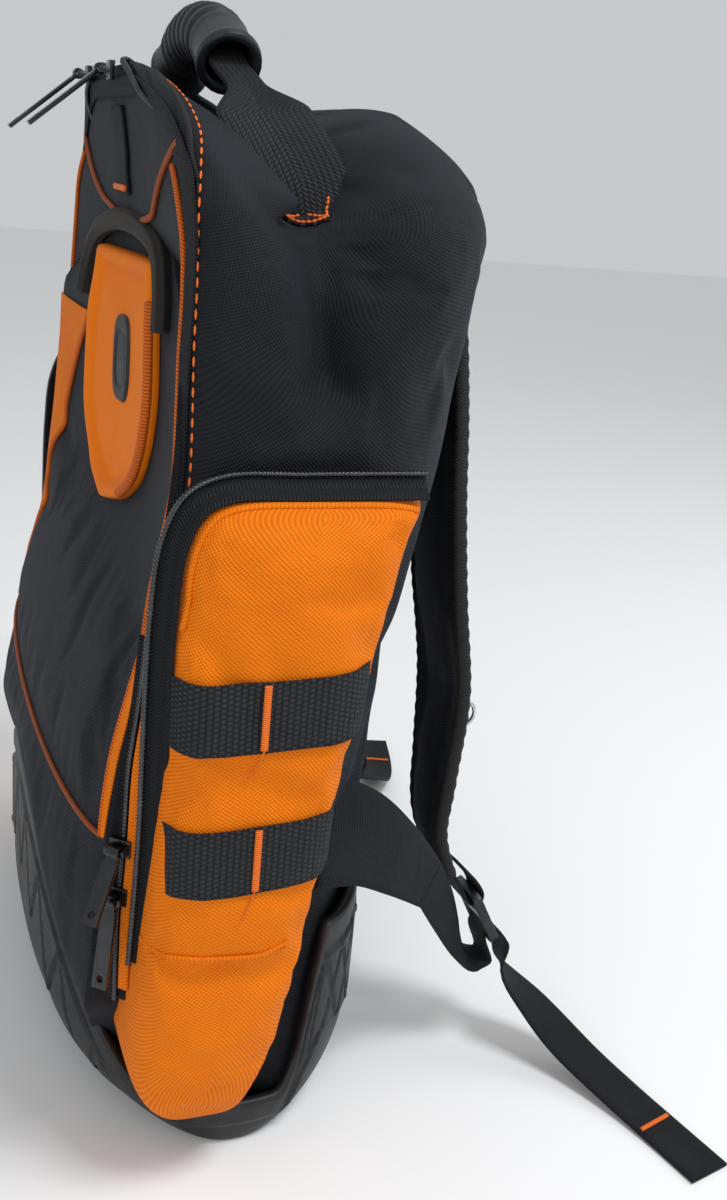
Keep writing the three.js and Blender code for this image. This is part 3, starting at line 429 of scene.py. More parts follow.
def moulded(name, slot, colour, worn, roughness, patch=0.8, depth=0.05, metallic=0, specular=0.4):
    """Moulded rubber, plastic or lacquered metal with a fine grain and scuffs."""
    material, slot, tree, shader = finish(name, slot, roughness, metallic, specular=specular)
    scuffs = calc(tree, "SMOOTH_MAX", calc(tree, "MULTIPLY_ADD", grain(tree, 9, 6), 3.0, -1.35), 0.0, 0.1)
    tree.links.new(blend_colours(tree, scuffs, colour, worn), shader.inputs["Base Color"])
    rough = calc(tree, "MULTIPLY_ADD", grain(tree, 25, 4), 0.25, roughness - 0.12)
    tree.links.new(rough, shader.inputs["Roughness"])
    relief(tree, shader, [(grain(tree, patch, 2), depth)])
    return material, slot


def ribbed(name, slot, high, low, period, depth, roughness=0.6):
    """Thread, piping or binding with ribs across its length, with painted shade in the grooves between ribs."""
    material, slot, tree, shader = finish(name, slot, roughness, sheen=0.03, specular=0.2)
    across, along = lengths(tree)
    slanted = calc(tree, "MULTIPLY_ADD", across, 0.35, along)
    height = calc(tree, "MULTIPLY_ADD", wave(tree, slanted, period), 0.5, 0.5)
    # Colour: painted shade in the grooves between ribs, lighter on the rib tops.
    tree.links.new(blend_colours(tree, height, low, high), shader.inputs["Base Color"])
    relief(tree, shader, [(height, depth)])
    return material, slot


# Cloth colours: the first is the float tops, the second the painted shade in the gaps between floats.
BLACK_CLOTH = woven_cloth("black_cloth", "black_cloth", (0.017, 0.019, 0.024), (0.0016, 0.0018, 0.0023), 1.0, 0.66,
                          0.05, (0.72, 0.84, 1.0), 0.3)
ORANGE_CLOTH = woven_cloth("orange_cloth", "orange_cloth", (1.0, 0.25, 0.004), (0.46, 0.075, 0.0006), 1.0, 0.7,
                           0.02, (1.0, 0.8, 0.55), 0.25)
TONGUE_CLOTH = woven_cloth("smooth_orange_cloth", "orange_cloth", (0.90, 0.215, 0.004), (0.74, 0.16, 0.002), 0.5, 0.6,
                           0.03, (1.0, 0.75, 0.5), 0.06)
# Webbing colours: the painted highlight on the knots, then the painted shade in the gaps.
COARSE_WEBBING = webbing("coarse_webbing", (0.04, 0.041, 0.044), (0.0006, 0.0006, 0.0007), 2.7, 2.2, 1.3)
STRAP_WEBBING = webbing("strap_webbing", (0.02, 0.021, 0.024), (0.0016, 0.0016, 0.002), 1.2, 1.1, 0.4)
ZIP_TAPE = zip_tape("herringbone_tape")
ZIP_COIL = moulded("zip_coil", "zip_tape", (0.006, 0.006, 0.007), (0.03, 0.03, 0.033), 0.2,
                   specular=0.7)
RUBBER = moulded("moulded_rubber", "rubber", (0.008, 0.009, 0.0105), (0.022, 0.023, 0.025), 0.48)
GRIP_RUBBER = moulded("grip_rubber", "rubber", (0.008, 0.009, 0.0105), (0.024, 0.025, 0.029), 0.44)
BUCKLE_PLASTIC = moulded("buckle_plastic", "plastic", (0.012, 0.014, 0.018), (0.03, 0.034, 0.042), 0.35)
LACQUER = moulded("black_lacquer", "steel", (0.005, 0.005, 0.006), (0.016, 0.016, 0.018), 0.18, depth=0.01,
                  specular=0.6)
RING_STEEL = moulded("bare_steel", "steel", (0.5, 0.5, 0.5), (0.75, 0.75, 0.75), 0.25, metallic=1.0)
# Thread, piping and binding colours: the rib tops, then the painted shade in the grooves.
ORANGE_THREAD = ribbed("orange_thread", "orange_cloth", (1.0, 0.24, 0.03), (0.55, 0.07, 0.005), 0.9, 0.15)
ORANGE_PIPING = ribbed("orange_piping", "orange_cloth", (0.8, 0.17, 0.008), (0.42, 0.06, 0.002), 1.6, 0.35)
DARK_PIPING = ribbed("dark_piping", "orange_cloth", (0.5, 0.1, 0.01), (0.12, 0.02, 0.002), 1.8, 0.4)
BLACK_BINDING = ribbed("black_binding", "webbing", (0.028, 0.027, 0.026), (0.006, 0.006, 0.006), 1.4, 0.2, 0.7)
BROWN_BINDING = ribbed("arch_binding", "webbing", (0.04, 0.035, 0.03), (0.012, 0.011, 0.009), 1.3, 0.15, 0.65)

# The rubber base's rim, and what stands inside it

def rim_height(x, y):
    arch = (FRONT_RIM_HEIGHT - LIP_HEIGHT) * max(0, 1 - (x / (0.92 * BASE_HALF)) ** 2)
    block = (REAR_RIM_HEIGHT - LIP_HEIGHT) * step((y - 16) / 20)
    return LIP_HEIGHT + (arch if y < 0 else block)


def in_base(point):
    """A point kept inside the base's wall below the rim, and drawn in towards it just above."""
    x, y, z = point
    allowed = 1 + 0.3 * max(0, (z - rim_height(x, y)) / 70) ** 1.3
    drop = min(max(0, 1 - (z - SOLE) / (SOLE_ROUNDING - SOLE)), 1)
    inset = BASE_WALL + (SOLE_ROUNDING - BASE_WALL) * (1 - math.sqrt(1 - drop ** 2))
    side_inset = BASE_WALL + (inset - BASE_WALL) * SIDE_ROUNDING
    half = BASE_HALF - side_inset - 0.8
    middle, deep = (BASE_REAR - BASE_FRONT) / 2, (BASE_REAR + BASE_FRONT) / 2 - inset - 0.8
    reach = (abs(x / half) ** 2.5 + abs((y - middle) / deep) ** 2.5) ** 0.4
    if reach <= allowed:
        return point
    share = allowed / reach
    return np.array([x * share, middle + (y - middle) * share, z])


# Main body
BODY_ROWS = [
    [0.013, 0.80, 0.60, 0.52, 2.6], [0.030, 0.88, 0.80, 0.64, 2.6], [0.060, 0.92, 0.90, 0.68, 2.8],
    [0.200, 0.93, 0.92, 0.64, 3.2], [0.280, 0.955, 0.95, 0.65, 5], [0.360, 0.99, 1.00, 0.66, 9],
    [0.450, 1.00, 0.99, 0.69, 10], [0.550, 1.00, 0.96, 0.76, 10], [0.680, 1.00, 0.82, 0.86, 10],
    [0.760, 1.00, 0.82, 0.90, 10], [0.820, 0.995, 0.80, 0.95, 10], [0.850, 0.985, 0.79, 0.98, 10],
    [0.880, 0.97, 0.78, 1.00, 10], [0.915, 0.91, 0.76, 0.99, 9], [0.945, 0.80, 0.78, 0.94, 9],
    [0.970, 0.68, 0.82, 0.88, 8], [0.987, 0.53, 0.84, 0.79, 7], [0.997, 0.36, 0.84, 0.67, 6],
    [1.000, 0.10, 0.30, 0.36, 4],
]
FOLD_ROWS = [
    [0.69, 0, 0.4, 9], [0.755, 0.2, 0.4, 8], [0.82, 0.3, 0.5, 8], [0.88, 0.65, 0.7, 6], [0.93, 1, 0.9, 5],
    [0.97, 0.9, 1, 0], [1, 0.78, 1, -5],
]


def plan_point(angle, half, front, rear, front_power, rear_power):
    c, s = math.cos(angle), math.sin(angle)
    power = front_power if s < 0 else rear_power
    reach = (abs(c) ** power + abs(s) ** power) ** (-1 / power)
    return half * reach * c, (front + rear) / 2 + (rear - front) / 2 * reach * s


def body_point(angle, place):
    """A point of the body at an angle round it and a place up it, counted in rows."""
    height, width, front, rear, edge = row_at(BODY_ROWS, place)
    x, y = plan_point(angle, width * BODY_HALF, -front * BODY_FRONT, rear * BODY_REAR, edge, 2.2)
    z = height * BODY_HEIGHT - HUMP_DROP * step((y + 20) / 80) * step((height - 0.85) / 0.15)
    _, depth, spread, shift = row_at(FOLD_ROWS, row_of(FOLD_ROWS, z / BODY_HEIGHT))
    away = (y - FOLD_PLACE - shift) / (FOLD_SPREAD * spread)
    depth *= FOLD_DEPTH * math.exp(-away ** 2)
    up = z - FOLD_CENTRE * BODY_HEIGHT
    reach = math.hypot(x, up) or 1
    return np.array([x - depth * x / reach, y, z - depth * up / reach])


def front_edge(x, z):
    """How far a point of the body's front lies inside its outline."""
    width = row_at(BODY_ROWS, row_of(BODY_ROWS, z / BODY_HEIGHT))[1] * BODY_HALF
    narrow = [[-row[1], row[0]] for row in BODY_ROWS if row[0] > 0.8]
    top = row_at(narrow, row_of(narrow, -abs(x) / BODY_HALF))[1] * BODY_HEIGHT
    return min(width - abs(x), top - z)


def front_of(x, z):
    """The body's front surface before the door is sunk into it."""
    _, width, front, rear, edge = row_at(BODY_ROWS, row_of(BODY_ROWS, z / BODY_HEIGHT))
    share = min(1, abs(x) / (width * BODY_HALF))
    middle, half = (rear * BODY_REAR - front * BODY_FRONT) / 2, (rear * BODY_REAR + front * BODY_FRONT) / 2
    return middle - half * (1 - share ** edge) ** (1 / edge)


RECESS_ROWS = [[0.45, 0], [0.62, 1], [0.80, 0.9], [0.88, 0.4], [0.95, 0.1], [1, 0]]


def recess(x, z):
    depth = row_at(RECESS_ROWS, row_of(RECESS_ROWS, z / BODY_HEIGHT))[1]
    return depth * (DOOR_RECESS + DOOR_TILT * x)


def valley(y, z):
    """Depth of the slack cloth's valley below the handle's tab."""
    along = (430 - z) / 60
    if not 0 < along < 1.4:
        return 0
    depth = 9 * step(along / 0.85) * step((1.4 - along) / 0.4)
    return depth * math.exp(-((y - 15 * along ** 1.3) / (7 + 5 * along)) ** 2)


def body_place(u, v):
    angle = 2 * math.pi * u + 0.15 * math.sin(8 * math.pi * u)
    point = body_point(angle, v * (len(BODY_ROWS) - 1))
    if abs(point[0]) > 90:
        point[0] -= math.copysign(valley(point[1], point[2]), point[0])
    if math.sin(angle) < -0.5:
        inside = front_edge(point[0], point[2])
        point[1] += step((inside - 12) / 10) * (4 + recess(point[0], point[2]))
    return in_base(point)


def rim_angle(place, behind):
    """The angle on the right where the body lies a given depth behind its front."""
    front = body_point(-math.pi / 2, place)[1]
    low, high = -math.pi / 2, 0.3
    for _ in range(24):
        middle = (low + high) / 2
        if body_point(middle, place)[1] - front < behind:
            low = middle
        else:
            high = middle
    return low


RIM_ROWS = [[5.5, 0.6], [8, 0.6], [10, 0.5], [12, 0.45], [13, 0.55], [14, 0.85], [15, 1], [17.6, 1]]


def rim_line(behind, low=5.5, high=17.6, count=50):
    """A line round the arch of the body's front rim, its depth behind it at the top given, from right to left."""
    right = [body_point(rim_angle(place, behind * row_at(RIM_ROWS, row_of(RIM_ROWS, place))[1]), place)
             for place in np.linspace(low, high, count)]
    return np.array(right + [point * (-1, 1, 1) for point in right[::-1]])


def body_held(point):
    x, y, z = point
    front = step((-12 - y) / 14)
    low = step((150 - z) / 30)
    fold = math.exp(-((y - 8) / 9) ** 2) * step((z - 385) / 20)
    rear = step((y - 100) / 6)
    door = 1 if y < 10 and front_edge(x, z) > 8 else 0
    return max(front, low, fold, rear, door)


body_shape = swell(lofted(body_place, 200, 110), body_held, 0.012, 4)
body_tree = tree_of(body_shape)
piece("body_cloth", body_shape, BLACK_CLOTH, ["main_body"], levels=1)

# Door inside the main zip, with its piping
ARCH_CENTRE = 0.5 * BODY_HEIGHT


def arch_point(place, inset):
    """A point of the body's outline seen from the front, drawn in; place runs from right foot to left foot."""
    side = -1 if place > 1 else 1
    share = 1 - abs(place - 1)
    height, width = row_at(BODY_ROWS, 5 + share * 12.1)[:2]
    x = width * BODY_HALF * (1 - inset / BODY_HALF)
    z = ARCH_CENTRE + (height * BODY_HEIGHT - ARCH_CENTRE) * (1 - inset / (BODY_HEIGHT - ARCH_CENTRE))
    return side * x, z


def door_place(u, v):
    size = 1 - 0.97 * v
    x, z = arch_point(2 * u, DOOR_RIM - 3)
    x, z = x * size, ARCH_CENTRE + (z - ARCH_CENTRE) * size
    sunk = step(2.2 * v)
    return np.array([x, front_of(x, z) + 1 + sunk * recess(x, z), z])


door_points = np.array([[door_place(c / 120, r / 40) for c in range(121)] for r in range(41)])
door_shape = woven(door_points[:, ::-1])
bmesh.ops.reverse_faces(door_shape, faces=door_shape.faces)
door_tree = tree_of(door_shape)
piece("door_panel", door_shape, BLACK_CLOTH, ["front_panel"], thick=1.6)


def laid(name, line, tree, lift, width, thick, finish, spacing=3, pairs=False, power=1.0, count=10, **more):
    """A roll or piping that follows a line on a surface."""
    seated, outward = seat(even(line, spacing), tree, lift)
    for _ in range(2):
        seated[1:-1] = (seated[:-2] + seated[1:-1] * 2 + seated[2:]) / 4
    across = np.cross(outward, tangents(seated))
    shape = swept(seated, lambda share: rounded(width, thick, count, power), across)
    return (pair if pairs else piece)(name, shape, finish, **more)


def stitched(name, line, tree, lift, finish=None, length=4.2, gap=1.6, radius=0.45, pairs=False):
    """A row of stitches along a line on a surface."""
    seated, outward = seat(even(line, length + gap), tree, lift)
    shape = bmesh.new()
    shape.loops.layers.uv.new("surface")
    for start, end, normal in zip(seated[:-1], seated[1:], outward):
        along = Vector(end - start)
        reach = along.length
        if reach > 2.5 * length or reach < 0.1:
            continue
        along.normalize()
        up = Vector(normal)
        across = up.cross(along).normalized()
        up = along.cross(across)
        middle = Vector((start + end) / 2)
        turn = Matrix((across * radius * 1.3, up * radius, along * length / 2)).transposed().to_4x4()
        place = Matrix.Translation(middle * MM) @ Matrix.Scale(MM, 4) @ turn
        bmesh.ops.create_uvsphere(shape, u_segments=6, v_segments=4, radius=1, matrix=place)
    return (pair if pairs else piece)(name, shape, finish or ORANGE_THREAD)


def coiled(name, line, finish=None, radius=1.25, pitch=1.7, pairs=False, **more):
    """A zip's coil: close turns along a line."""
    fine = even(line, pitch / 4)

    def turn(share):
        swing = 0.8 + 0.2 * math.cos(2 * math.pi * share * (len(fine) - 1) / 4)
        return rounded(2 * radius * swing * 1.25, 2 * radius * swing, 8)
    up = np.tile([0.3, -0.2, 0.9], (len(fine), 1))
    shape = swept(fine, turn, np.cross(up, tangents(fine)) + 1e-4)
    return (pair if pairs else piece)(name, shape, finish or ZIP_COIL, **more)


def strip(name, one, other, tree, lift, finish, spacing=3, columns=8, crown=0.0, thick=1.0, pairs=False, **more):
    """A flat band between two lines, seated on a surface."""
    count = max(len(even(one, spacing)), len(even(other, spacing)))
    ends = [even(line, np.linalg.norm(np.diff(line, axis=0), axis=1).sum() / count) for line in (one, other)]
    size = min(len(ends[0]), len(ends[1]))
    rows = []
    for a, b in zip(ends[0][:size], ends[1][:size]):
        row, outward = seat([a + (b - a) * c / columns for c in range(columns + 1)], tree, lift)
        bulge = [crown * math.sin(math.pi * c / columns) for c in range(columns + 1)]
        rows.append(row + outward * np.array(bulge)[:, None])
    shape = woven(np.array(rows))
    shape.normal_update()
    shape.faces.ensure_lookup_table()
    middle = shape.faces[len(shape.faces) // 2 + columns // 2]
    centre = middle.calc_center_median() / MM
    spot, normal, _, _ = tree.find_nearest(centre)
    if middle.normal.dot(normal) < 0:
        bmesh.ops.reverse_faces(shape, faces=shape.faces)
    return (pair if pairs else piece)(name, shape, finish, thick=thick, **more)


strip("main_zip_outer_tape", rim_line(1), rim_line(6.5), body_tree, 1.2, ZIP_TAPE, stands_for=["main_zip"])
inner = [arch_point(place, 9) for place in np.linspace(0.12, 1.88, 80)]
deep = [arch_point(place, 17) for place in np.linspace(0.12, 1.88, 80)]
inner = np.array([[x, front_of(x, z) - 1.5, z] for x, z in inner])
deep = np.array([[x, front_of(x, z) - 0.5, z] for x, z in deep])
inner_rows = np.array([[a + (b - a) * c / 6 for c in range(7)] for a, b in zip(inner, deep)])
inner_shape = woven(inner_rows)
bmesh.ops.reverse_faces(inner_shape, faces=inner_shape.faces)
piece("main_zip_inner_tape", inner_shape, ZIP_TAPE, thick=1.0)
zip_line, zip_out = seat(rim_line(0.4, count=90), body_tree, 1.9)
coiled("main_zip_coil", zip_line)
laid("rim_piping", rim_line(7.5), body_tree, 0.6, 2.4, 2.0, BLACK_BINDING)
stitched("rim_stitching", rim_line(12), body_tree, 0.35)

for side in (1, -1):
    line = [(side * x, z) for x, z in ((126, 452), (104, 441), (80, 430), (56, 421), (30, 417))]
    line = np.array([[x, front_of(x, z) + recess(x, z), z] for x, z in line])
    laid(f"door_piping_{'near' if side > 0 else 'far'}", smooth_route(line), door_tree, 1.0, 3.2, 2.6, DARK_PIPING)
edge_line = [arch_point(place, 21) for place in np.linspace(0.12, 0.75, 30)]
for side in (1, -1):
    line = np.array([[side * x, front_of(side * x, z) + 2, z] for x, z in edge_line])
    laid(f"door_edge_piping_{'near' if side > 0 else 'far'}", line, door_tree, 1.2, 2.4, 2.4, ORANGE_PIPING)

# Webbing strip down the sunk door, with its bar tack
strip_rows = np.array([[[x, on_front(door_tree, x, z) - 1.9, z] for x in np.linspace(-15, 15, 9)]
                       for z in np.linspace(425, 464, 14)])
piece("front_strip", woven(strip_rows), STRAP_WEBBING, ["front_strip"], thick=1.4)


def bar_tack(name, start, end, tree, lift, width=2.4, pairs=False):
    """Dense zigzag stitching in a bar."""
    laid(name, [start, end], tree, lift, width, 1.5, ORANGE_THREAD, spacing=1.0, pairs=pairs, power=0.8)


tack = np.array([[x, on_front(door_tree, x, 428) - 2.6, 428] for x in (-14, 14)])
tack_shape = swept(even(tack, 1), lambda share: rounded(3, 1.6, 10), (0, 0, 1))
piece("front_strip_tack", tack_shape, ORANGE_THREAD)

# Front pocket
POCKET_ROWS = [
    [0.015, 0.78, 0.70, 0.25, 1.0, 2.5, 0], [0.045, 0.86, 0.72, 0.27, 1.0, 2.5, 0],
    [0.200, 0.95, 0.73, 0.29, 1.02, 2.3, 0], [0.310, 0.98, 0.73, 0.29, 1.02, 2.3, 0],
    [0.415, 0.99, 0.71, 0.26, 1.02, 2.1, 0], [0.490, 0.99, 0.70, 0.16, 1.02, 2.0, 0],
    [0.570, 0.99, 0.66, 0.05, 1.02, 1.8, 0], [0.650, 0.99, 0.63, -0.07, 1.02, 1.4, 0.5],
    [0.730, 0.985, 0.60, -0.17, 1.02, 1.2, 0.85], [0.830, 0.975, 0.565, -0.16, 1.02, 1.2, 1],
    [0.885, 0.95, 0.56, -0.155, 1.02, 1.2, 1], [0.925, 0.74, 0.535, -0.135, 0.9, 1.3, 1],
    [0.965, 0.50, 0.47, -0.06, 0.7, 1.5, 1], [0.988, 0.37, 0.455, -0.04, 0.6, 2, 1],
    [1.000, 0.20, 0.445, -0.03, 0.5, 2, 1],
]
POCKET_BACK = 10


def crown_at(row, x):
    _, _, edge, depth, reach, power, tilt = row
    share = abs(x) / (reach * POCKET_HALF)
    crown = max(0, 1 - share ** power) ** (1 / power)
    return tilt * DOOR_TILT * x * crown - BASE_FRONT * (edge + depth * crown)


def pocket_place(u, v):
    row = row_at(POCKET_ROWS, v * (len(POCKET_ROWS) - 1))
    half, height = row[1] * POCKET_HALF, row[0] * POCKET_HEIGHT
    back = -BODY_FRONT / 2 + (POCKET_BACK + BODY_FRONT / 2) * step(3 * row[0])
    if u < 0.8:
        x = half * math.sin(math.pi * (u / 0.8 - 0.5))
        return in_base(np.array([x, crown_at(row, x), height]))
    return in_base(np.array([half * (1 - 2 * (u - 0.8) / 0.2), back, height]))


def pocket_face(x, z):
    return crown_at(row_at(POCKET_ROWS, row_of(POCKET_ROWS, z / POCKET_HEIGHT)), x)


def pocket_held(point):
    x, y, z = point
    seams = math.exp(-((z - SEAM_HEIGHT) / 6) ** 2)
    side = step((abs(x) - 135) / 15)
    tongue = step((z - 265) / 12) if abs(x) < 75 else 0
    return max(step((y + 55) / 8), seams, side, step((60 - z) / 20), tongue)


pocket_shape = swell(lofted(pocket_place, 130, 90), pocket_held, 0.012, 4)
pocket_tree = tree_of(pocket_shape)
piece("front_pocket_cloth", pocket_shape, BLACK_CLOTH, ["front_pocket"], levels=1)

# Orange crescents beside the front pocket's middle, with their piping
CRESCENT_ROWS = [
    [0.416, 0.91, 0.975], [0.46, 0.90, 0.975], [0.535, 0.85, 0.975], [0.63, 0.79, 0.975], [0.73, 0.70, 0.97],
    [0.815, 0.575, 0.965], [0.876, 0.43, 0.95],
]


NEAR_CRESCENT_ROWS = [
    [0.416, 0.968, 0.985], [0.46, 0.955, 0.985], [0.54, 0.940, 0.985], [0.60, 0.942, 0.985], [0.65, 0.957, 0.985],
    [0.69, 0.980, 0.985],
]


def crescent_line(side, column, count=60):
    table = NEAR_CRESCENT_ROWS if side > 0 else CRESCENT_ROWS
    out = []
    for place in np.linspace(0, len(table) - 1, count):
        row = row_at(table, place)
        x, z = side * row[column] * POCKET_HALF, row[0] * POCKET_HEIGHT
        out.append([x, on_front(pocket_tree, x, z, pocket_face(x, z)), z])
    return np.array(out)


for side, name in ((1, "right"), (-1, "left")):
    inside, outside = crescent_line(side, 1), crescent_line(side, 2)
    rows = []
    for a, b in zip(inside, outside):
        xs = np.linspace(a[0], b[0], 13)
        rows.append([[x, on_front(pocket_tree, x, a[2], pocket_face(x, a[2])) - 1.3, a[2]] for x in xs[::side]])
    piece(f"crescent_{name}", woven(np.array(rows)), ORANGE_CLOTH, [f"pocket_crescent_{name}"], thick=1.0)
    roll = (3.6, 3.0) if side < 0 else (1.6, 1.4)
    laid(f"crescent_piping_{name}", inside, pocket_tree, 1.2, *roll, ORANGE_PIPING)

# Seam across the front pocket
seam = np.array([[x, pocket_face(x, SEAM_HEIGHT), SEAM_HEIGHT] for x in np.linspace(-160, 160, 90)])
laid("pocket_seam", seam, pocket_tree, 0.8, 2.6, 2.2, DARK_PIPING)

# Tongue: a padded shield with a rolled edge
TONGUE_ROWS = [
    [0, 0.76], [0.1, 0.84], [0.3, 0.96], [0.5, 1], [0.64, 0.98], [0.76, 0.88], [0.87, 0.68], [0.95, 0.42], [1, 0.02],
]
TONGUE_SECTION = [[0, 3.6], [0.55, 3.4], [0.78, 3.0], [0.85, 2.2], [0.90, 4.4], [0.95, 5.6], [0.985, 4.2], [1, 0.2]]


def tongue_edge(u):
    """A point of the tongue's outline; u runs round it from the top's middle over the right."""
    if u < 0.1 or u > 0.9:
        across = u / 0.1 if u < 0.1 else (u - 1) / 0.1
        return across * TONGUE_ROWS[0][1] * TONGUE_HALF, TONGUE_TOP
    side = 1 if u < 0.5 else -1
    share = (u - 0.1) / 0.4 if u < 0.5 else (0.9 - u) / 0.4
    drop, half = row_at(TONGUE_ROWS, (len(TONGUE_ROWS) - 1) * share)
    return side * half * TONGUE_HALF, TONGUE_TOP - drop * TONGUE_LENGTH


TONGUE_CENTRE = TONGUE_TOP - 0.48 * TONGUE_LENGTH


def tongue_place(u, v):
    x, z = tongue_edge(u)
    size = 0.02 + 0.98 * v
    lift = row_at(TONGUE_SECTION, row_of(TONGUE_SECTION, size))[1]
    x, z = x * size, TONGUE_CENTRE + (z - TONGUE_CENTRE) * size
    face = min(on_front(pocket_tree, x, z, pocket_face(x, z)), pocket_face(x, z) + 6)
    return np.array([x, face - lift, z])


tongue_rows = np.array([[tongue_place(c / 120, r / 44) for c in range(121)] for r in range(45)])
tongue_shape = woven(tongue_rows, wrap=True)
bmesh.ops.reverse_faces(tongue_shape, faces=tongue_shape.faces)
tongue_tree = tree_of(tongue_shape)
tongue_piece = piece("tongue_pad", tongue_shape, TONGUE_CLOTH, ["tongue_panel"], thick=1.0)
groove = [[x * 0.85, 0, TONGUE_CENTRE + (z - TONGUE_CENTRE) * 0.85]
          for x, z in (tongue_edge(u) for u in np.linspace(0.1, 0.9, 70))]
groove = np.array([[x, on_front(tongue_tree, x, z) - 0.1, z] for x, _, z in groove])
stitched("tongue_stitching", groove, tongue_tree, 0.2, ORANGE_THREAD, 3.2, 1.4, 0.35)
welt = [tongue_edge(u) for u in np.linspace(0.16, 0.44, 60)]
welt = np.array([[x * 0.97, on_front(tongue_tree, x * 0.965, TONGUE_CENTRE + (z - TONGUE_CENTRE) * 0.965),
                  TONGUE_CENTRE + (z - TONGUE_CENTRE) * 0.97] for x, z in welt])
laid("tongue_welt", welt, tongue_tree, -0.6, 5.5, 3.4, ORANGE_PIPING, spacing=2)

# Badge: a blank rubber lozenge
BADGE_CENTRE = TONGUE_TOP - 0.42 * TONGUE_LENGTH
BADGE_SECTION = [[0, 2.0], [0.5, 2.0], [0.62, 1.5], [0.7, 2.4], [0.9, 2.5], [0.97, 1.8], [1, -1.0]]


badge_middle = on_front(tongue_tree, 0, BADGE_CENTRE)
badge_lean = (on_front(tongue_tree, 0, BADGE_CENTRE + 18) - on_front(tongue_tree, 0, BADGE_CENTRE - 18)) / 36
badge_slant = (on_front(tongue_tree, 11, BADGE_CENTRE) - on_front(tongue_tree, -11, BADGE_CENTRE)) / 22


def badge_place(u, v):
    angle = 2 * math.pi * u
    size = 0.03 + 0.97 * v
    lift = row_at(BADGE_SECTION, row_of(BADGE_SECTION, size))[1]
    x = 13 * size * math.copysign(abs(math.cos(angle)) ** 0.6, math.cos(angle))
    z = BADGE_CENTRE - 22 * size * math.copysign(abs(math.sin(angle)) ** 0.6, math.sin(angle))
    bed = badge_middle + badge_slant * x + badge_lean * (z - BADGE_CENTRE)
    return np.array([x, bed - 0.6 - lift, z])


badge_rows = np.array([[badge_place(c / 64, r / 24) for c in range(65)] for r in range(25)])
badge_shape = woven(badge_rows, wrap=True)
bmesh.ops.reverse_faces(badge_shape, faces=badge_shape.faces)
badge_shape.normal_update()
if sum(face.normal.y for face in badge_shape.faces) > 0:
    bmesh.ops.reverse_faces(badge_shape, faces=badge_shape.faces)
piece("badge", badge_shape, RUBBER, ["tongue_badge"], thick=0.6)

# Ridged binding over the pocket's arch
BINDING_ROUTE = [
    (-0.46, 40), (-0.43, 24), (-0.34, 9), (-0.18, 0.5), (0, -2), (0.18, 0.5), (0.34, 9), (0.43, 24), (0.46, 40),
]
binding_line = []
for across, drop in BINDING_ROUTE:
    x, z = across * POCKET_HALF, POCKET_HEIGHT - drop
    binding_line.append([x, pocket_face(x, z) - 3.5, z])


def binding_section(share):
    out = []
    for i in range(24):
        angle = 2 * math.pi * i / 24
        ridge = 1 + 0.10 * math.cos(7 * angle)
        out.append((5.2 * ridge * math.cos(angle), 4.2 * ridge * math.sin(angle)))
    return out


binding_fine = even(smooth_route(binding_line), 2)
binding_shape = swept(binding_fine, binding_section, np.cross([0, -1, 0], tangents(binding_fine)))
piece("arch_binding", binding_shape, BROWN_BINDING, ["pocket_binding"])

# Side pockets
SIDE_ROWS = [
    [0.000, -0.40, -0.16, 0.10], [0.022, -0.54, -0.06, 0.42], [0.070, -0.63, 0.00, 0.66],
    [0.150, -0.67, 0.07, 0.85], [0.300, -0.655, 0.15, 0.97], [0.490, -0.61, 0.24, 1.00],
    [0.700, -0.575, 0.35, 1.00], [0.860, -0.555, 0.455, 0.93], [0.945, -0.52, 0.52, 0.84],
    [0.985, -0.46, 0.58, 0.68], [1.000, -0.42, 0.58, 0.46],
]
SIDE_RISE = SIDE_TOP - SIDE_FOOT
UPPER_LOOP, LOWER_LOOP = 241, 178


def side_place(u, v):
    height, front, rear, bulge = row_at(SIDE_ROWS, v * (len(SIDE_ROWS) - 1))
    angle = 2 * math.pi * u + 0.12 * math.sin(8 * math.pi * u)
    out = BODY_HALF + bulge * SIDE_BULGE
    x, y = plan_point(angle, out - SIDE_INSIDE, front * SIDE_DEPTH, rear * SIDE_DEPTH, 4.5, 4.5)
    z = SIDE_FOOT + height * SIDE_RISE
    fold = 3.2 * math.exp(-(((y + 34) * 0.86 + (z - 262) * 0.5) / 9) ** 2) * step((z - 215) / 30) * step((305 - z) / 20)
    behind_front = pocket_face(min(SIDE_INSIDE + x, 163), z) + 6
    y += max(0, behind_front - y) * step((176 - SIDE_INSIDE - x) / 6)
    return np.array([SIDE_INSIDE + x - (fold if x > 20 else 0), y, z])


def side_held(point):
    x, y, z = point
    edges = max(step((192 - x) / 8) if x < 192 else 0, step((48 - z) / 10), step((z - 314) / 6))
    loops = max(math.exp(-((z - middle) / 13) ** 4) for middle in (UPPER_LOOP, LOWER_LOOP))
    return max(edges, 0.9 * loops)


side_shape = swell(lofted(side_place, 96, 84), side_held, 0.03, 5, pressure=5)
side_tree = tree_of(side_shape)
pair("side_pocket_cloth", side_shape, ORANGE_CLOTH, ["side_pocket"], levels=1)


def on_side(y, z, tree=None, fallback=172):
    hit = (tree or side_tree).ray_cast(Vector((290, y, z)), Vector((-1, 0, 0)))
    return hit[0].x if hit[0] else fallback


# Side zip: its tape, its coil and the hem of the cloth beside it
SIDE_ZIP = [
    (-0.64, 0.30), (-0.615, 0.50), (-0.61, 0.70), (-0.60, 0.84), (-0.565, 0.94), (-0.48, 0.995), (-0.34, 1.017),
    (0, 1.02), (0.56, 1.022),
]
zip_route = smooth_route([(BODY_HALF + 4.5, y * SIDE_DEPTH, SIDE_FOOT + z * SIDE_RISE) for y, z in SIDE_ZIP])
zip_route = even(zip_route, 2)
inward = np.cross(tangents(zip_route), [1, 0, 0])
inward /= np.linalg.norm(inward, axis=1, keepdims=True)


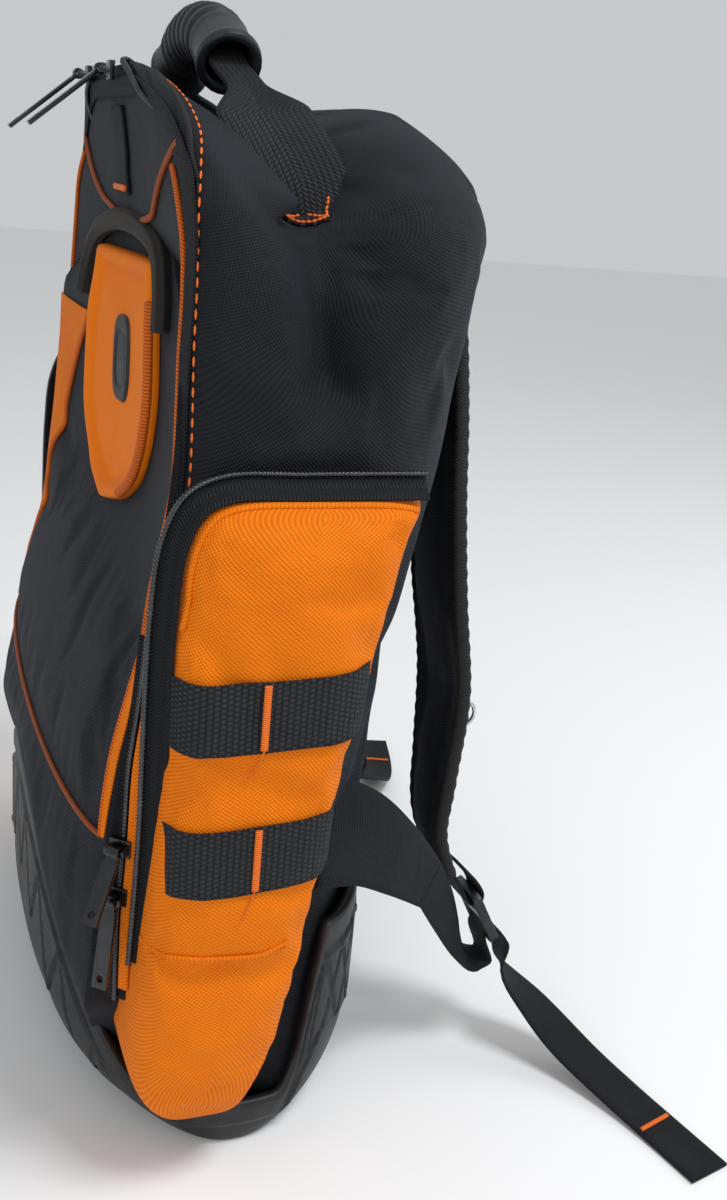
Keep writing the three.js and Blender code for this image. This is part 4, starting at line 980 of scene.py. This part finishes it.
def beside(reach, out):
    """The side zip's route moved in over the pocket and outwards."""
    return zip_route + inward * reach + np.array([out, 0, 0])


tape_rows = np.array([[a, b, c, d] for a, b, c, d in zip(beside(-3.5, 0.3), beside(0, 2.6), beside(3, 5.6), beside(5.6, 9.5))])
tape_shape = woven(tape_rows)
tape_shape.normal_update()
if sum(face.normal.x for face in tape_shape.faces) < 0:
    bmesh.ops.reverse_faces(tape_shape, faces=tape_shape.faces)
pair("side_zip_tape", tape_shape, ZIP_TAPE, ["side_zip"], thick=1.2, levels=1)
coiled("side_zip_coil", beside(-3.2, 1.6), pairs=True)
hem_line = beside(7, 11)
laid("side_zip_hem", hem_line[hem_line[:, 2] > 272], side_tree, 0.2, 2.8, 2.0, ORANGE_CLOTH, pairs=True)

# Tool loops: coarse webbing over the side pocket
for name, middle in (("upper", UPPER_LOOP), ("lower", LOWER_LOOP)):
    ys = np.linspace(-52, 33 if name == "upper" else 23, 64)
    zs = np.linspace(middle - WEBBING / 2, middle + WEBBING / 2, 13)
    tilt = 0.06 * (ys + 10)
    out = np.array([[on_side(y, z + t, None, 0) for y, t in zip(ys, tilt)] for z in zs])
    out = np.tile(np.median(np.where(out < 180, 181, out), axis=0), (len(zs), 1)) * 0.6 + np.where(out < 180, 181, out) * 0.4
    for _ in range(12):
        out[:, 1:-1] = np.maximum(out[:, 1:-1], (out[:, :-2] + out[:, 2:]) / 2)
    tuck = [4.5 * step(abs(share * 2 - 1) * 20 - 19) for share in np.linspace(0, 1, len(ys))]
    rows = [[[x + 2.3 - t_in, y, z + t] for x, y, t, t_in in zip(row, ys, tilt, tuck)] for row, z in zip(out, zs)]
    loop_shape = woven(np.array(rows))
    loop_tree = tree_of(loop_shape)
    pair(f"{name}_loop_webbing", loop_shape, COARSE_WEBBING, [f"{name}_tool_loop"], thick=1.6)
    y = -16
    bar = [(on_side(y, middle + k * 12, loop_tree) + 0.5, y, middle + k * (WEBBING / 2 - 1)) for k in (-1, 1)]
    tack_shape = swept(even(bar, 1), lambda share: rounded(3.2, 1.7, 10), (0, 1, 0))
    pair(f"{name}_loop_tack", tack_shape, ORANGE_THREAD)
    loose = [(on_side(y, middle - 13) + 2.5, y, middle - 14), (on_side(y, middle - 18) + 1.5, y - 2, middle - 20),
             (on_side(y - 4, middle - 26) + 1.2, y - 5, middle - 27)]
    thread = swept(even(smooth_route(loose), 1), lambda share: rounded(0.8, 0.8, 6), (0, 1, 0))
    pair(f"{name}_loop_thread", thread, ORANGE_THREAD)

# Seam across the foot of the side pocket
hem = [(230 - 48 * step((-42 - y) / 14), y, 133.5 - 7 * math.sin(math.pi * (y + 62) / 73)) for y in np.linspace(-62, 11, 44)]
laid("side_pocket_seam", hem, side_tree, 0.3, 2.2, 1.8, ORANGE_CLOTH, pairs=True)
stitched("side_pocket_stitching", np.array(hem) - (0, 0, 2.4), side_tree, 0.2, ORANGE_CLOTH, 2.6, 1.2, 0.4, pairs=True)

# Zip down the side edge of the front pocket and the strip of cloth behind it


def side_edge(x, back, low, high, count=50):
    out = []
    for z in np.linspace(low, high, count):
        edge = row_at(POCKET_ROWS, row_of(POCKET_ROWS, z / POCKET_HEIGHT))[2]
        out.append([x, -BASE_FRONT * edge + back, z])
    return np.array(out)


diagonal = np.array([0.66, 0.75, 0])
edge_line = even(side_edge(POCKET_HALF, 1.5, 92, 262), 2)
tape_shape = swept(edge_line, lambda share: band(9.5, 1.2, 7), np.tile(-diagonal, (len(edge_line), 1)))
pair("pocket_zip_tape", tape_shape, ZIP_TAPE, ["pocket_zip"])
coiled("pocket_zip_coil", edge_line + (1.3, -1.2, 0), pairs=True)
strip_line = even(side_edge(POCKET_HALF + 5.5, 3.2, 100, 290), 3)
strip_shape = swept(strip_line, lambda share: band(5, 1.6, 5), np.tile(-diagonal, (len(strip_line), 1)))
pair("gusset_cloth", strip_shape, ORANGE_CLOTH, ["gusset_strip"])

# Handle grip
ARC_RADIUS = (GRIP_HALF ** 2 + GRIP_RISE ** 2) / (2 * GRIP_RISE)
GRIP_PROFILE = [
    [0, 1.02], [0.03, 1.06], [0.06, 0.98], [0.16, 0.93], [0.22, 1], [0.5, 1.03], [0.78, 1], [0.84, 0.93], [0.94, 0.98],
    [0.97, 1.06], [1, 1.02],
]


def grip_point(share):
    angle = math.asin(GRIP_HALF / ARC_RADIUS) * (2 * share - 1)
    return np.array([ARC_RADIUS * math.sin(angle), GRIP_PLACE,
                     GRIP_TOP - GRIP_RADIUS - ARC_RADIUS * (1 - math.cos(angle))])


def grip_section(share):
    outer = share * 1.2 if share <= 5 / 6 else None
    if outer is None:
        return rounded(2 * GRIP_BORE, 2 * GRIP_BORE, 28)
    radius = GRIP_RADIUS * row_at(GRIP_PROFILE, row_of(GRIP_PROFILE, outer))[1]
    place = (outer - 0.2) / 0.6
    if 0 < place < 1:
        wave_ = math.cos(2 * math.pi * 7 * place)
        radius -= 1.9 * (0.5 - 0.5 * math.copysign(abs(wave_) ** 0.4, wave_))
    return rounded(2 * radius, 2 * radius, 28)


GRIP_ROWS = 200
grip_line = [grip_point(min(1, i / GRIP_ROWS * 1.2) if i / GRIP_ROWS <= 5 / 6 else 1 - (i / GRIP_ROWS - 5 / 6) * 6)
             for i in range(GRIP_ROWS + 1)]
rings = []
for i, centre in enumerate(grip_line):
    share = i / GRIP_ROWS
    angle = math.asin(centre[0] / ARC_RADIUS)
    up = np.array([math.sin(angle), 0, math.cos(angle)])
    ring = [centre + np.array([0, -a, 0]) + up * b for a, b in grip_section(share)]
    rings.append(ring + [ring[0]])
rings.append(rings[0])
grip_shape = woven(np.array(rings), wrap=True)
grip_shape.normal_update()
bmesh.ops.recalc_face_normals(grip_shape, faces=grip_shape.faces)
piece("grip", grip_shape, GRIP_RUBBER, ["handle_grip"])

# Handle webbing, sewn down at the shoulders
TAB_X, TAB_Z = 118, 425
end = grip_point(1)
half_route = [
    (TAB_X, FOLD_PLACE + 9, TAB_Z), (TAB_X - 6, FOLD_PLACE + 7, TAB_Z + 14), (TAB_X - 22, FOLD_PLACE, TAB_Z + 33),
    (end[0] + 14, GRIP_PLACE + 3, end[2] - 7), *[tuple(grip_point(share)) for share in (1, 0.85, 0.7, 0.5)],
]
handle_route = half_route + [(-x, y, z) for x, y, z in half_route[-2::-1]]
handle_line = even(smooth_route(handle_route), 2.5)


def handle_section(share):
    inside = step((min(share, 1 - share) - 0.18) / 0.07)
    width = 44 + (2 * GRIP_BORE - 3 - 44) * inside
    flat = band(width, 2.2, 9)
    return [(a, b + 2.2 * math.cos(math.pi * a / width) * (1 - inside)) for a, b in flat]


handle_shape = swept(handle_line, handle_section, (0, 1, 0))
handle_tree = tree_of(handle_shape)
piece("handle_webbing", handle_shape, COARSE_WEBBING, ["handle_strap"])
tab_corners = [(122, -4, 419), (122, 26, 419), (108, 26, 437), (108, -4, 437)]
for side in (1, -1):
    name = "right" if side > 0 else "left"
    corners = [np.array([side * x, y, z], float) for x, y, z in tab_corners]
    rows = np.array([[corners[0] + (corners[1] - corners[0]) * c / 10 + (corners[3] - corners[0]) * r / 8
                      for c in range(11)] for r in range(9)])
    seated = [seat(row, body_tree, 1.8)[0] for row in rows]
    tab = woven(np.array(seated) if side > 0 else np.array(seated)[:, ::-1])
    tab_tree = tree_of(tab)
    piece(f"handle_tab_{name}", tab, COARSE_WEBBING, thick=1.8)
    stitched(f"handle_tab_box_{name}", np.array([*corners, corners[0]]) * 0.94 + np.mean(corners, axis=0) * 0.06,
             tab_tree, 0.3, None, 2.6, 0.8, 0.6)
    stitched(f"handle_tab_cross_{name}", np.array([corners[0], corners[2]]), tab_tree, 0.3, None, 2.6, 0.8, 0.6)
    stitched(f"handle_tab_across_{name}", np.array([corners[1], corners[3]]), tab_tree, 0.3, None, 2.6, 0.8, 0.6)


# Shoulder straps

def behind(rows):
    return np.array(rows, float) * (BODY_HALF, BODY_REAR, BODY_HEIGHT)


STRAP_ROUTE = behind([
    [0.233, 0.973, 0.7984], [0.279, 0.973, 0.7531], [0.349, 0.955, 0.6955], [0.436, 0.928, 0.6173],
    [0.494, 0.946, 0.5247], [0.529, 1.000, 0.4218], [0.552, 0.991, 0.3292], [0.576, 0.982, 0.2613],
    [0.610, 1.045, 0.2119],
])
STRAP_WIDTHS = [[0, 0.95], [0.25, 1], [0.6, 0.95], [0.85, 0.7], [1, 0.5]]
strap_line = even(smooth_route(STRAP_ROUTE), 4)


def strap_width(share):
    return 62 * row_at(STRAP_WIDTHS, row_of(STRAP_WIDTHS, share))[1]


def strap_section(share):
    width = strap_width(share) - 4
    out = []
    for a, b in rounded(width, 9.5, 28, 0.6):
        channel = 1 - 0.3 * math.exp(-((abs(a) - width * 0.33) / 2.2) ** 2)
        out.append((a, b * channel * (1 - 0.35 * (abs(a) / (width / 2)) ** 3)))
    return out


strap_shape = swept(strap_line, strap_section, (1, 0, 0))
strap_across = np.tile([1.0, 0, 0], (len(strap_line), 1))


def strap_held(point):
    spot = min(range(len(strap_line)), key=lambda i: float(((strap_line[i] - np.array(point)) ** 2).sum()))
    wide = abs(point[0] - strap_line[spot][0]) / (strap_width(spot / (len(strap_line) - 1)) / 2)
    return step((wide - 0.75) / 0.15)


strap_shape = swell(strap_shape, strap_held, 0.01, 2.5, pressure=3)
for one in pair("shoulder_pad", strap_shape, BLACK_CLOTH, ["shoulder_strap"], levels=1):
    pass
for name, edge in (("inner", -1), ("outer", 1)):
    reach = np.array([strap_width(i / (len(strap_line) - 1)) / 2 - 2 for i in range(len(strap_line))])
    line = even(strap_line + strap_across * (edge * reach)[:, None], 1.5)

    def puckered(share, count=len(line)):
        swing = 1 + 0.07 * math.sin(2 * math.pi * share * count / 5)
        return rounded(5.5 * swing, 7.2 * swing, 12)
    pair(f"strap_binding_{name}", swept(line, puckered, (1, 0, 0)), BLACK_BINDING)

# Webbing, buckle and keeper
buckle_up = np.array([-0.22, -0.42, 0.88]) / np.linalg.norm([-0.22, -0.42, 0.88])
buckle_out = -np.cross([1, 0, 0], buckle_up)
buckle_out /= np.linalg.norm(buckle_out)
buckle_side = np.cross(buckle_up, buckle_out)
buckle_place = behind([0.64, 1.243, 0.1564])


def on_buckle(y, z):
    return tuple(buckle_place + buckle_up * y + buckle_out * z)


low_bar, high_bar = BUCKLE_BAR / 2 - BUCKLE_LENGTH / 2, BUCKLE_LENGTH / 2 - BUCKLE_BAR / 2
turn = [on_buckle(low_bar + TURN_RADIUS * math.sin(math.pi * i / 4), -TURN_RADIUS * math.cos(math.pi * i / 4))
        for i in range(5)]
start = behind([[0.762, 0.883, 0.2263], [0.727, 1.000, 0.1811], [0.692, 1.117, 0.1337], [0.674, 1.207, 0.1049]])
tail = behind([[0.709, 1.369, 0.0947], [0.797, 1.505, 0.0576], [0.919, 1.640, 0.0267], [1.070, 1.757, 0.0103],
               [1.233, 1.847, 0.0037], [1.413, 1.919, 0.0029]])
webbing_route = [*map(tuple, start), on_buckle(low_bar - 12, -TURN_RADIUS - 2), *turn,
                 on_buckle(low_bar - 9, TURN_RADIUS + 1), *map(tuple, tail)]
slanted = np.array([-0.49, 0.54, 0.69])


def webbing_across(share):
    if share < 0.5:
        return slanted + (buckle_side - slanted) * step(share / 0.26)
    return buckle_side + (np.array([-0.3, 0.95, 0]) - buckle_side) * step((share - 0.62) / 0.2)


dense = smooth_route(webbing_route, 6)
webbing_shape = swept(dense, lambda share: band(LOWER_WEBBING, WEBBING_THICK, 9), webbing_across)
webbing_tree = tree_of(webbing_shape)
pair("lower_webbing", webbing_shape, STRAP_WEBBING, ["strap_webbing"])
tip = dense[-8]
floor_across = np.array([-0.3, 0.95, 0])
floor_across /= np.linalg.norm(floor_across)
bar_tack("webbing_end_tack", tip - floor_across * 10 + (0, 0, 2), tip + floor_across * 10 + (0, 0, 2), webbing_tree,
         0.4, 2.4, pairs=True)
keeper_turn = [on_buckle(high_bar - TURN_RADIUS * math.sin(math.pi * i / 4), -TURN_RADIUS * math.cos(math.pi * i / 4))
               for i in range(5)]
keeper_route = [on_buckle(high_bar + 24, -TURN_RADIUS - 2), on_buckle(high_bar + 8, -TURN_RADIUS), *keeper_turn,
                on_buckle(high_bar + 8, TURN_RADIUS - 1), on_buckle(high_bar + 16, TURN_RADIUS - 4)]
keeper_shape = swept(smooth_route(keeper_route, 6), lambda share: band(LOWER_WEBBING, WEBBING_THICK, 9), buckle_side)
pair("keeper_webbing", keeper_shape, STRAP_WEBBING, ["strap_keeper"])
wing_route = behind([[0.919, 0.270, 0.3333], [0.884, 0.468, 0.3128], [0.837, 0.667, 0.2757], [0.797, 0.784, 0.2490],
                     [0.750, 0.910, 0.2181]])
wing_line = even(smooth_route(wing_route), 3)
wing_shape = swept(wing_line, lambda share: band(LOWER_WEBBING * (2.1 - 1.1 * share), 2, 9), slanted)
pair("wing_cloth", wing_shape, BLACK_CLOTH, ["strap_wing"])

# Steel ring in its webbing loop on each strap
ring = bmesh.new()
bmesh.ops.create_circle(ring, segments=8, radius=1.1 * MM, matrix=Matrix.Translation((7 * MM, 0, 0)) @ Matrix.Rotation(math.pi / 2, 4, "X"))
bmesh.ops.spin(ring, geom=ring.verts[:] + ring.edges[:], axis=(0, 0, 1), cent=(0, 0, 0), steps=32, angle=2 * math.pi,
               use_merge=True)
bmesh.ops.recalc_face_normals(ring, faces=ring.faces)
bmesh.ops.rotate(ring, matrix=Matrix.Rotation(math.pi / 2, 3, "Y"), verts=ring.verts)
bmesh.ops.translate(ring, vec=Vector((92, 124, 184)) * MM, verts=ring.verts)
pair("strap_ring", ring, RING_STEEL)
ring_loop = even(smooth_route([(92, 114, 196), (92, 121, 193), (92, 123, 190), (92, 120, 187), (92, 114, 186)]), 1)
pair("strap_ring_loop", swept(ring_loop, lambda share: band(12, 1.2, 5), (1, 0, 0)), STRAP_WEBBING)

# Rubber base, with its tread


def tread(along, below, rear):
    """Height of the tread: triangles with pips at their corners in front, crossed blocks at the rear."""
    high, half_period = 46, 17
    top = 17
    if below < top - 3 or below > top + high + 3:
        return 0
    inside = step((below - top + 3) / 3) * step((top + high + 3 - below) / 3)
    place = (below - top) / high
    turn = (along / half_period) % 2
    zig = turn if turn < 1 else 2 - turn
    slope = math.hypot(1 / high, 1 / half_period)
    gap = abs(place - zig) / slope
    if rear:
        gap = min(gap, abs(1 - place - zig) / slope)
    edge = min(below - top, top + high - below) + 1
    raised = 1.5 * step((min(gap, edge) - 0.8) / 1.3)
    corner = min(abs(turn - whole) for whole in (0, 1, 2)) * half_period
    pip = math.hypot(corner, (0 if turn < 0.5 or turn > 1.5 else high) - (below - top) + (3 if turn < 0.5 or turn > 1.5 else -3))
    return inside * max(raised, 2.1 * step((3.2 - pip) / 1.6))


BASE_COLUMNS, BASE_RISE_ROWS = 560, 104
columns = [2 * math.pi * c / BASE_COLUMNS + 0.06 * math.sin(8 * math.pi * c / BASE_COLUMNS) for c in range(BASE_COLUMNS)]


def base_point(angle, share, wall, floor):
    x, y = plan_point(angle, BASE_HALF, -BASE_FRONT, BASE_REAR, 2.5, 2.5)
    height = floor + share * (rim_height(x, y) - floor)
    drop = max(0, 1 - (height - floor) / (SOLE_ROUNDING - floor))
    inset = wall + (SOLE_ROUNDING - wall) * (1 - math.sqrt(1 - drop ** 2))
    side_inset = wall + (inset - wall) * SIDE_ROUNDING
    x, y = plan_point(angle, BASE_HALF - side_inset, inset - BASE_FRONT, BASE_REAR - inset, 2.5, 2.5)
    return np.array([x, y, height])


outline = np.array([base_point(angle, 1, 0, 0) for angle in columns])
arc = np.concatenate([[0], np.cumsum(np.linalg.norm(np.diff(outline, axis=0)[:, :2], axis=1))])
arc -= arc[3 * BASE_COLUMNS // 4]
rings = []
for r in range(BASE_RISE_ROWS + 1):
    share = (r / BASE_RISE_ROWS) ** 1.15
    ring = []
    for c, angle in enumerate(columns):
        point = base_point(angle, share, 0, 0)
        full_x, full_y = outline[c][:2]
        rim = rim_height(full_x, full_y)
        below = rim - point[2]
        strength = step((rim - 45) / 25) * step((point[2] - 6) / 10)
        outward = np.array([math.cos(angle) * 0.9, math.sin(angle), 0])
        outward /= np.linalg.norm(outward)
        lift = strength * tread(arc[c], below, full_y > 0) + 0.9 * step((14 - below) / 3) - 0.9 * step((2.5 - below) / 2.5)
        ring.append(point + outward * lift)
    rings.append(ring)
for share in (1.0, 0.9, 0.6, 0.3, 0.1, 0.0):
    rings.append([base_point(angle, share, BASE_WALL, SOLE) for angle in columns])
rings = [ring + [ring[0]] for ring in rings]
foot, bed = [np.array([0, 0, 0.0])] * (BASE_COLUMNS + 1), [np.array([0, 0, SOLE])] * (BASE_COLUMNS + 1)
base_shape = woven(np.array([foot, *rings, bed]), wrap=True)
piece("base_rubber", base_shape, RUBBER, ["rubber_base"])

# Sliders, pulls and buckles keep their solids' forms, with softened edges


def softened(name, node, finish, width, body="bag"):
    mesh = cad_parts[node].data
    shape = bmesh.new()
    shape.from_mesh(mesh)
    bmesh.ops.remove_doubles(shape, verts=shape.verts, dist=2e-6)
    bmesh.ops.dissolve_limit(shape, angle_limit=0.02, verts=shape.verts, edges=shape.edges)
    sharp = [edge for edge in shape.edges if len(edge.link_faces) == 2 and edge.calc_face_angle(0) > 0.6]
    bmesh.ops.bevel(shape, geom=sharp, offset=width * MM, segments=2, profile=0.5, affect="EDGES", material=-1,
                    clamp_overlap=True)
    return piece(name, shape, finish, [node], body=body)


for spot in ("near", "far"):
    softened(f"top_slider_body_{spot}", f"top_slider_{spot}", LACQUER, 0.35)
    softened(f"top_pull_tab_{spot}", f"top_pull_{spot}", LACQUER, 0.35, body=f"top_pull_{spot}")
for spot in ("upper", "lower"):
    softened(f"side_slider_body_{spot}", f"side_slider_{spot}", LACQUER, 0.35)
    softened(f"side_pull_tab_{spot}", f"side_pull_{spot}", LACQUER, 0.35, body=f"side_pull_{spot}")
for side in ("right", "left"):
    softened(f"ladder_buckle_{side}", f"strap_buckle_{side}", BUCKLE_PLASTIC, 0.8)

# Floor, light and camera
floor_shape = bmesh.new()
bmesh.ops.create_grid(floor_shape, x_segments=2, y_segments=2, size=6)
floor_mesh = bpy.data.meshes.new("floor")
floor_shape.to_mesh(floor_mesh)
floor_shape.free()
floor = bpy.data.objects.new("floor", floor_mesh)
bpy.context.scene.collection.objects.link(floor)
floor_finish = finish("pale_floor", "rubber", 0.85)
floor_finish[3].inputs["Base Color"].default_value = (0.9, 0.9, 0.89, 1)
floor_mesh.materials.append(floor_finish[0])

world = bpy.data.worlds.new("studio")
world.use_nodes = True
world.node_tree.nodes["Background"].inputs["Color"].default_value = (0.95, 0.97, 1.0, 1)
world.node_tree.nodes["Background"].inputs["Strength"].default_value = 0.6
bpy.context.scene.world = world
bpy.context.scene.view_settings.view_transform = "Standard"


def lamp(name, place, aim, size, power, colour=(1, 1, 1)):
    light = bpy.data.lights.new(name, "AREA")
    light.size = size
    light.energy = power
    light.color = colour
    thing = bpy.data.objects.new(name, light)
    thing.location = place
    thing.rotation_euler = (Vector(aim) - Vector(place)).to_track_quat("-Z", "Y").to_euler()
    bpy.context.scene.collection.objects.link(thing)


lamp("overhead", (0.7, 0.5, 1.7), (0, 0, 0.25), 0.5, 16, (0.93, 0.96, 1.0))
lamp("near_fill", (1.5, -0.9, 0.9), (0, 0, 0.2), 0.6, 5)
lamp("rear_edge", (0.2, 1.6, 1.0), (0, 0, 0.3), 0.8, 5)

AZIMUTH, PITCH, ROLL, FOCAL = math.radians(68.6), math.radians(18.9), math.radians(-5.5), 1268.6
ahead = Vector((-math.sin(AZIMUTH) * math.cos(PITCH), math.cos(AZIMUTH) * math.cos(PITCH), -math.sin(PITCH)))
level = Vector((math.cos(AZIMUTH), math.sin(AZIMUTH), 0))
upright = level.cross(ahead)
right = level * math.cos(ROLL) - upright * math.sin(ROLL)
top = level * math.sin(ROLL) + upright * math.cos(ROLL)
lens = bpy.data.cameras.new("camera")
lens.lens = FOCAL / 1200 * 36
lens.sensor_width = 36
camera = bpy.data.objects.new("camera", lens)
camera.matrix_world = Matrix((right, top, -ahead)).transposed().to_4x4()
camera.location = (0.6371, -0.1505, 0.449)
bpy.context.scene.collection.objects.link(camera)
bpy.context.scene.camera = camera
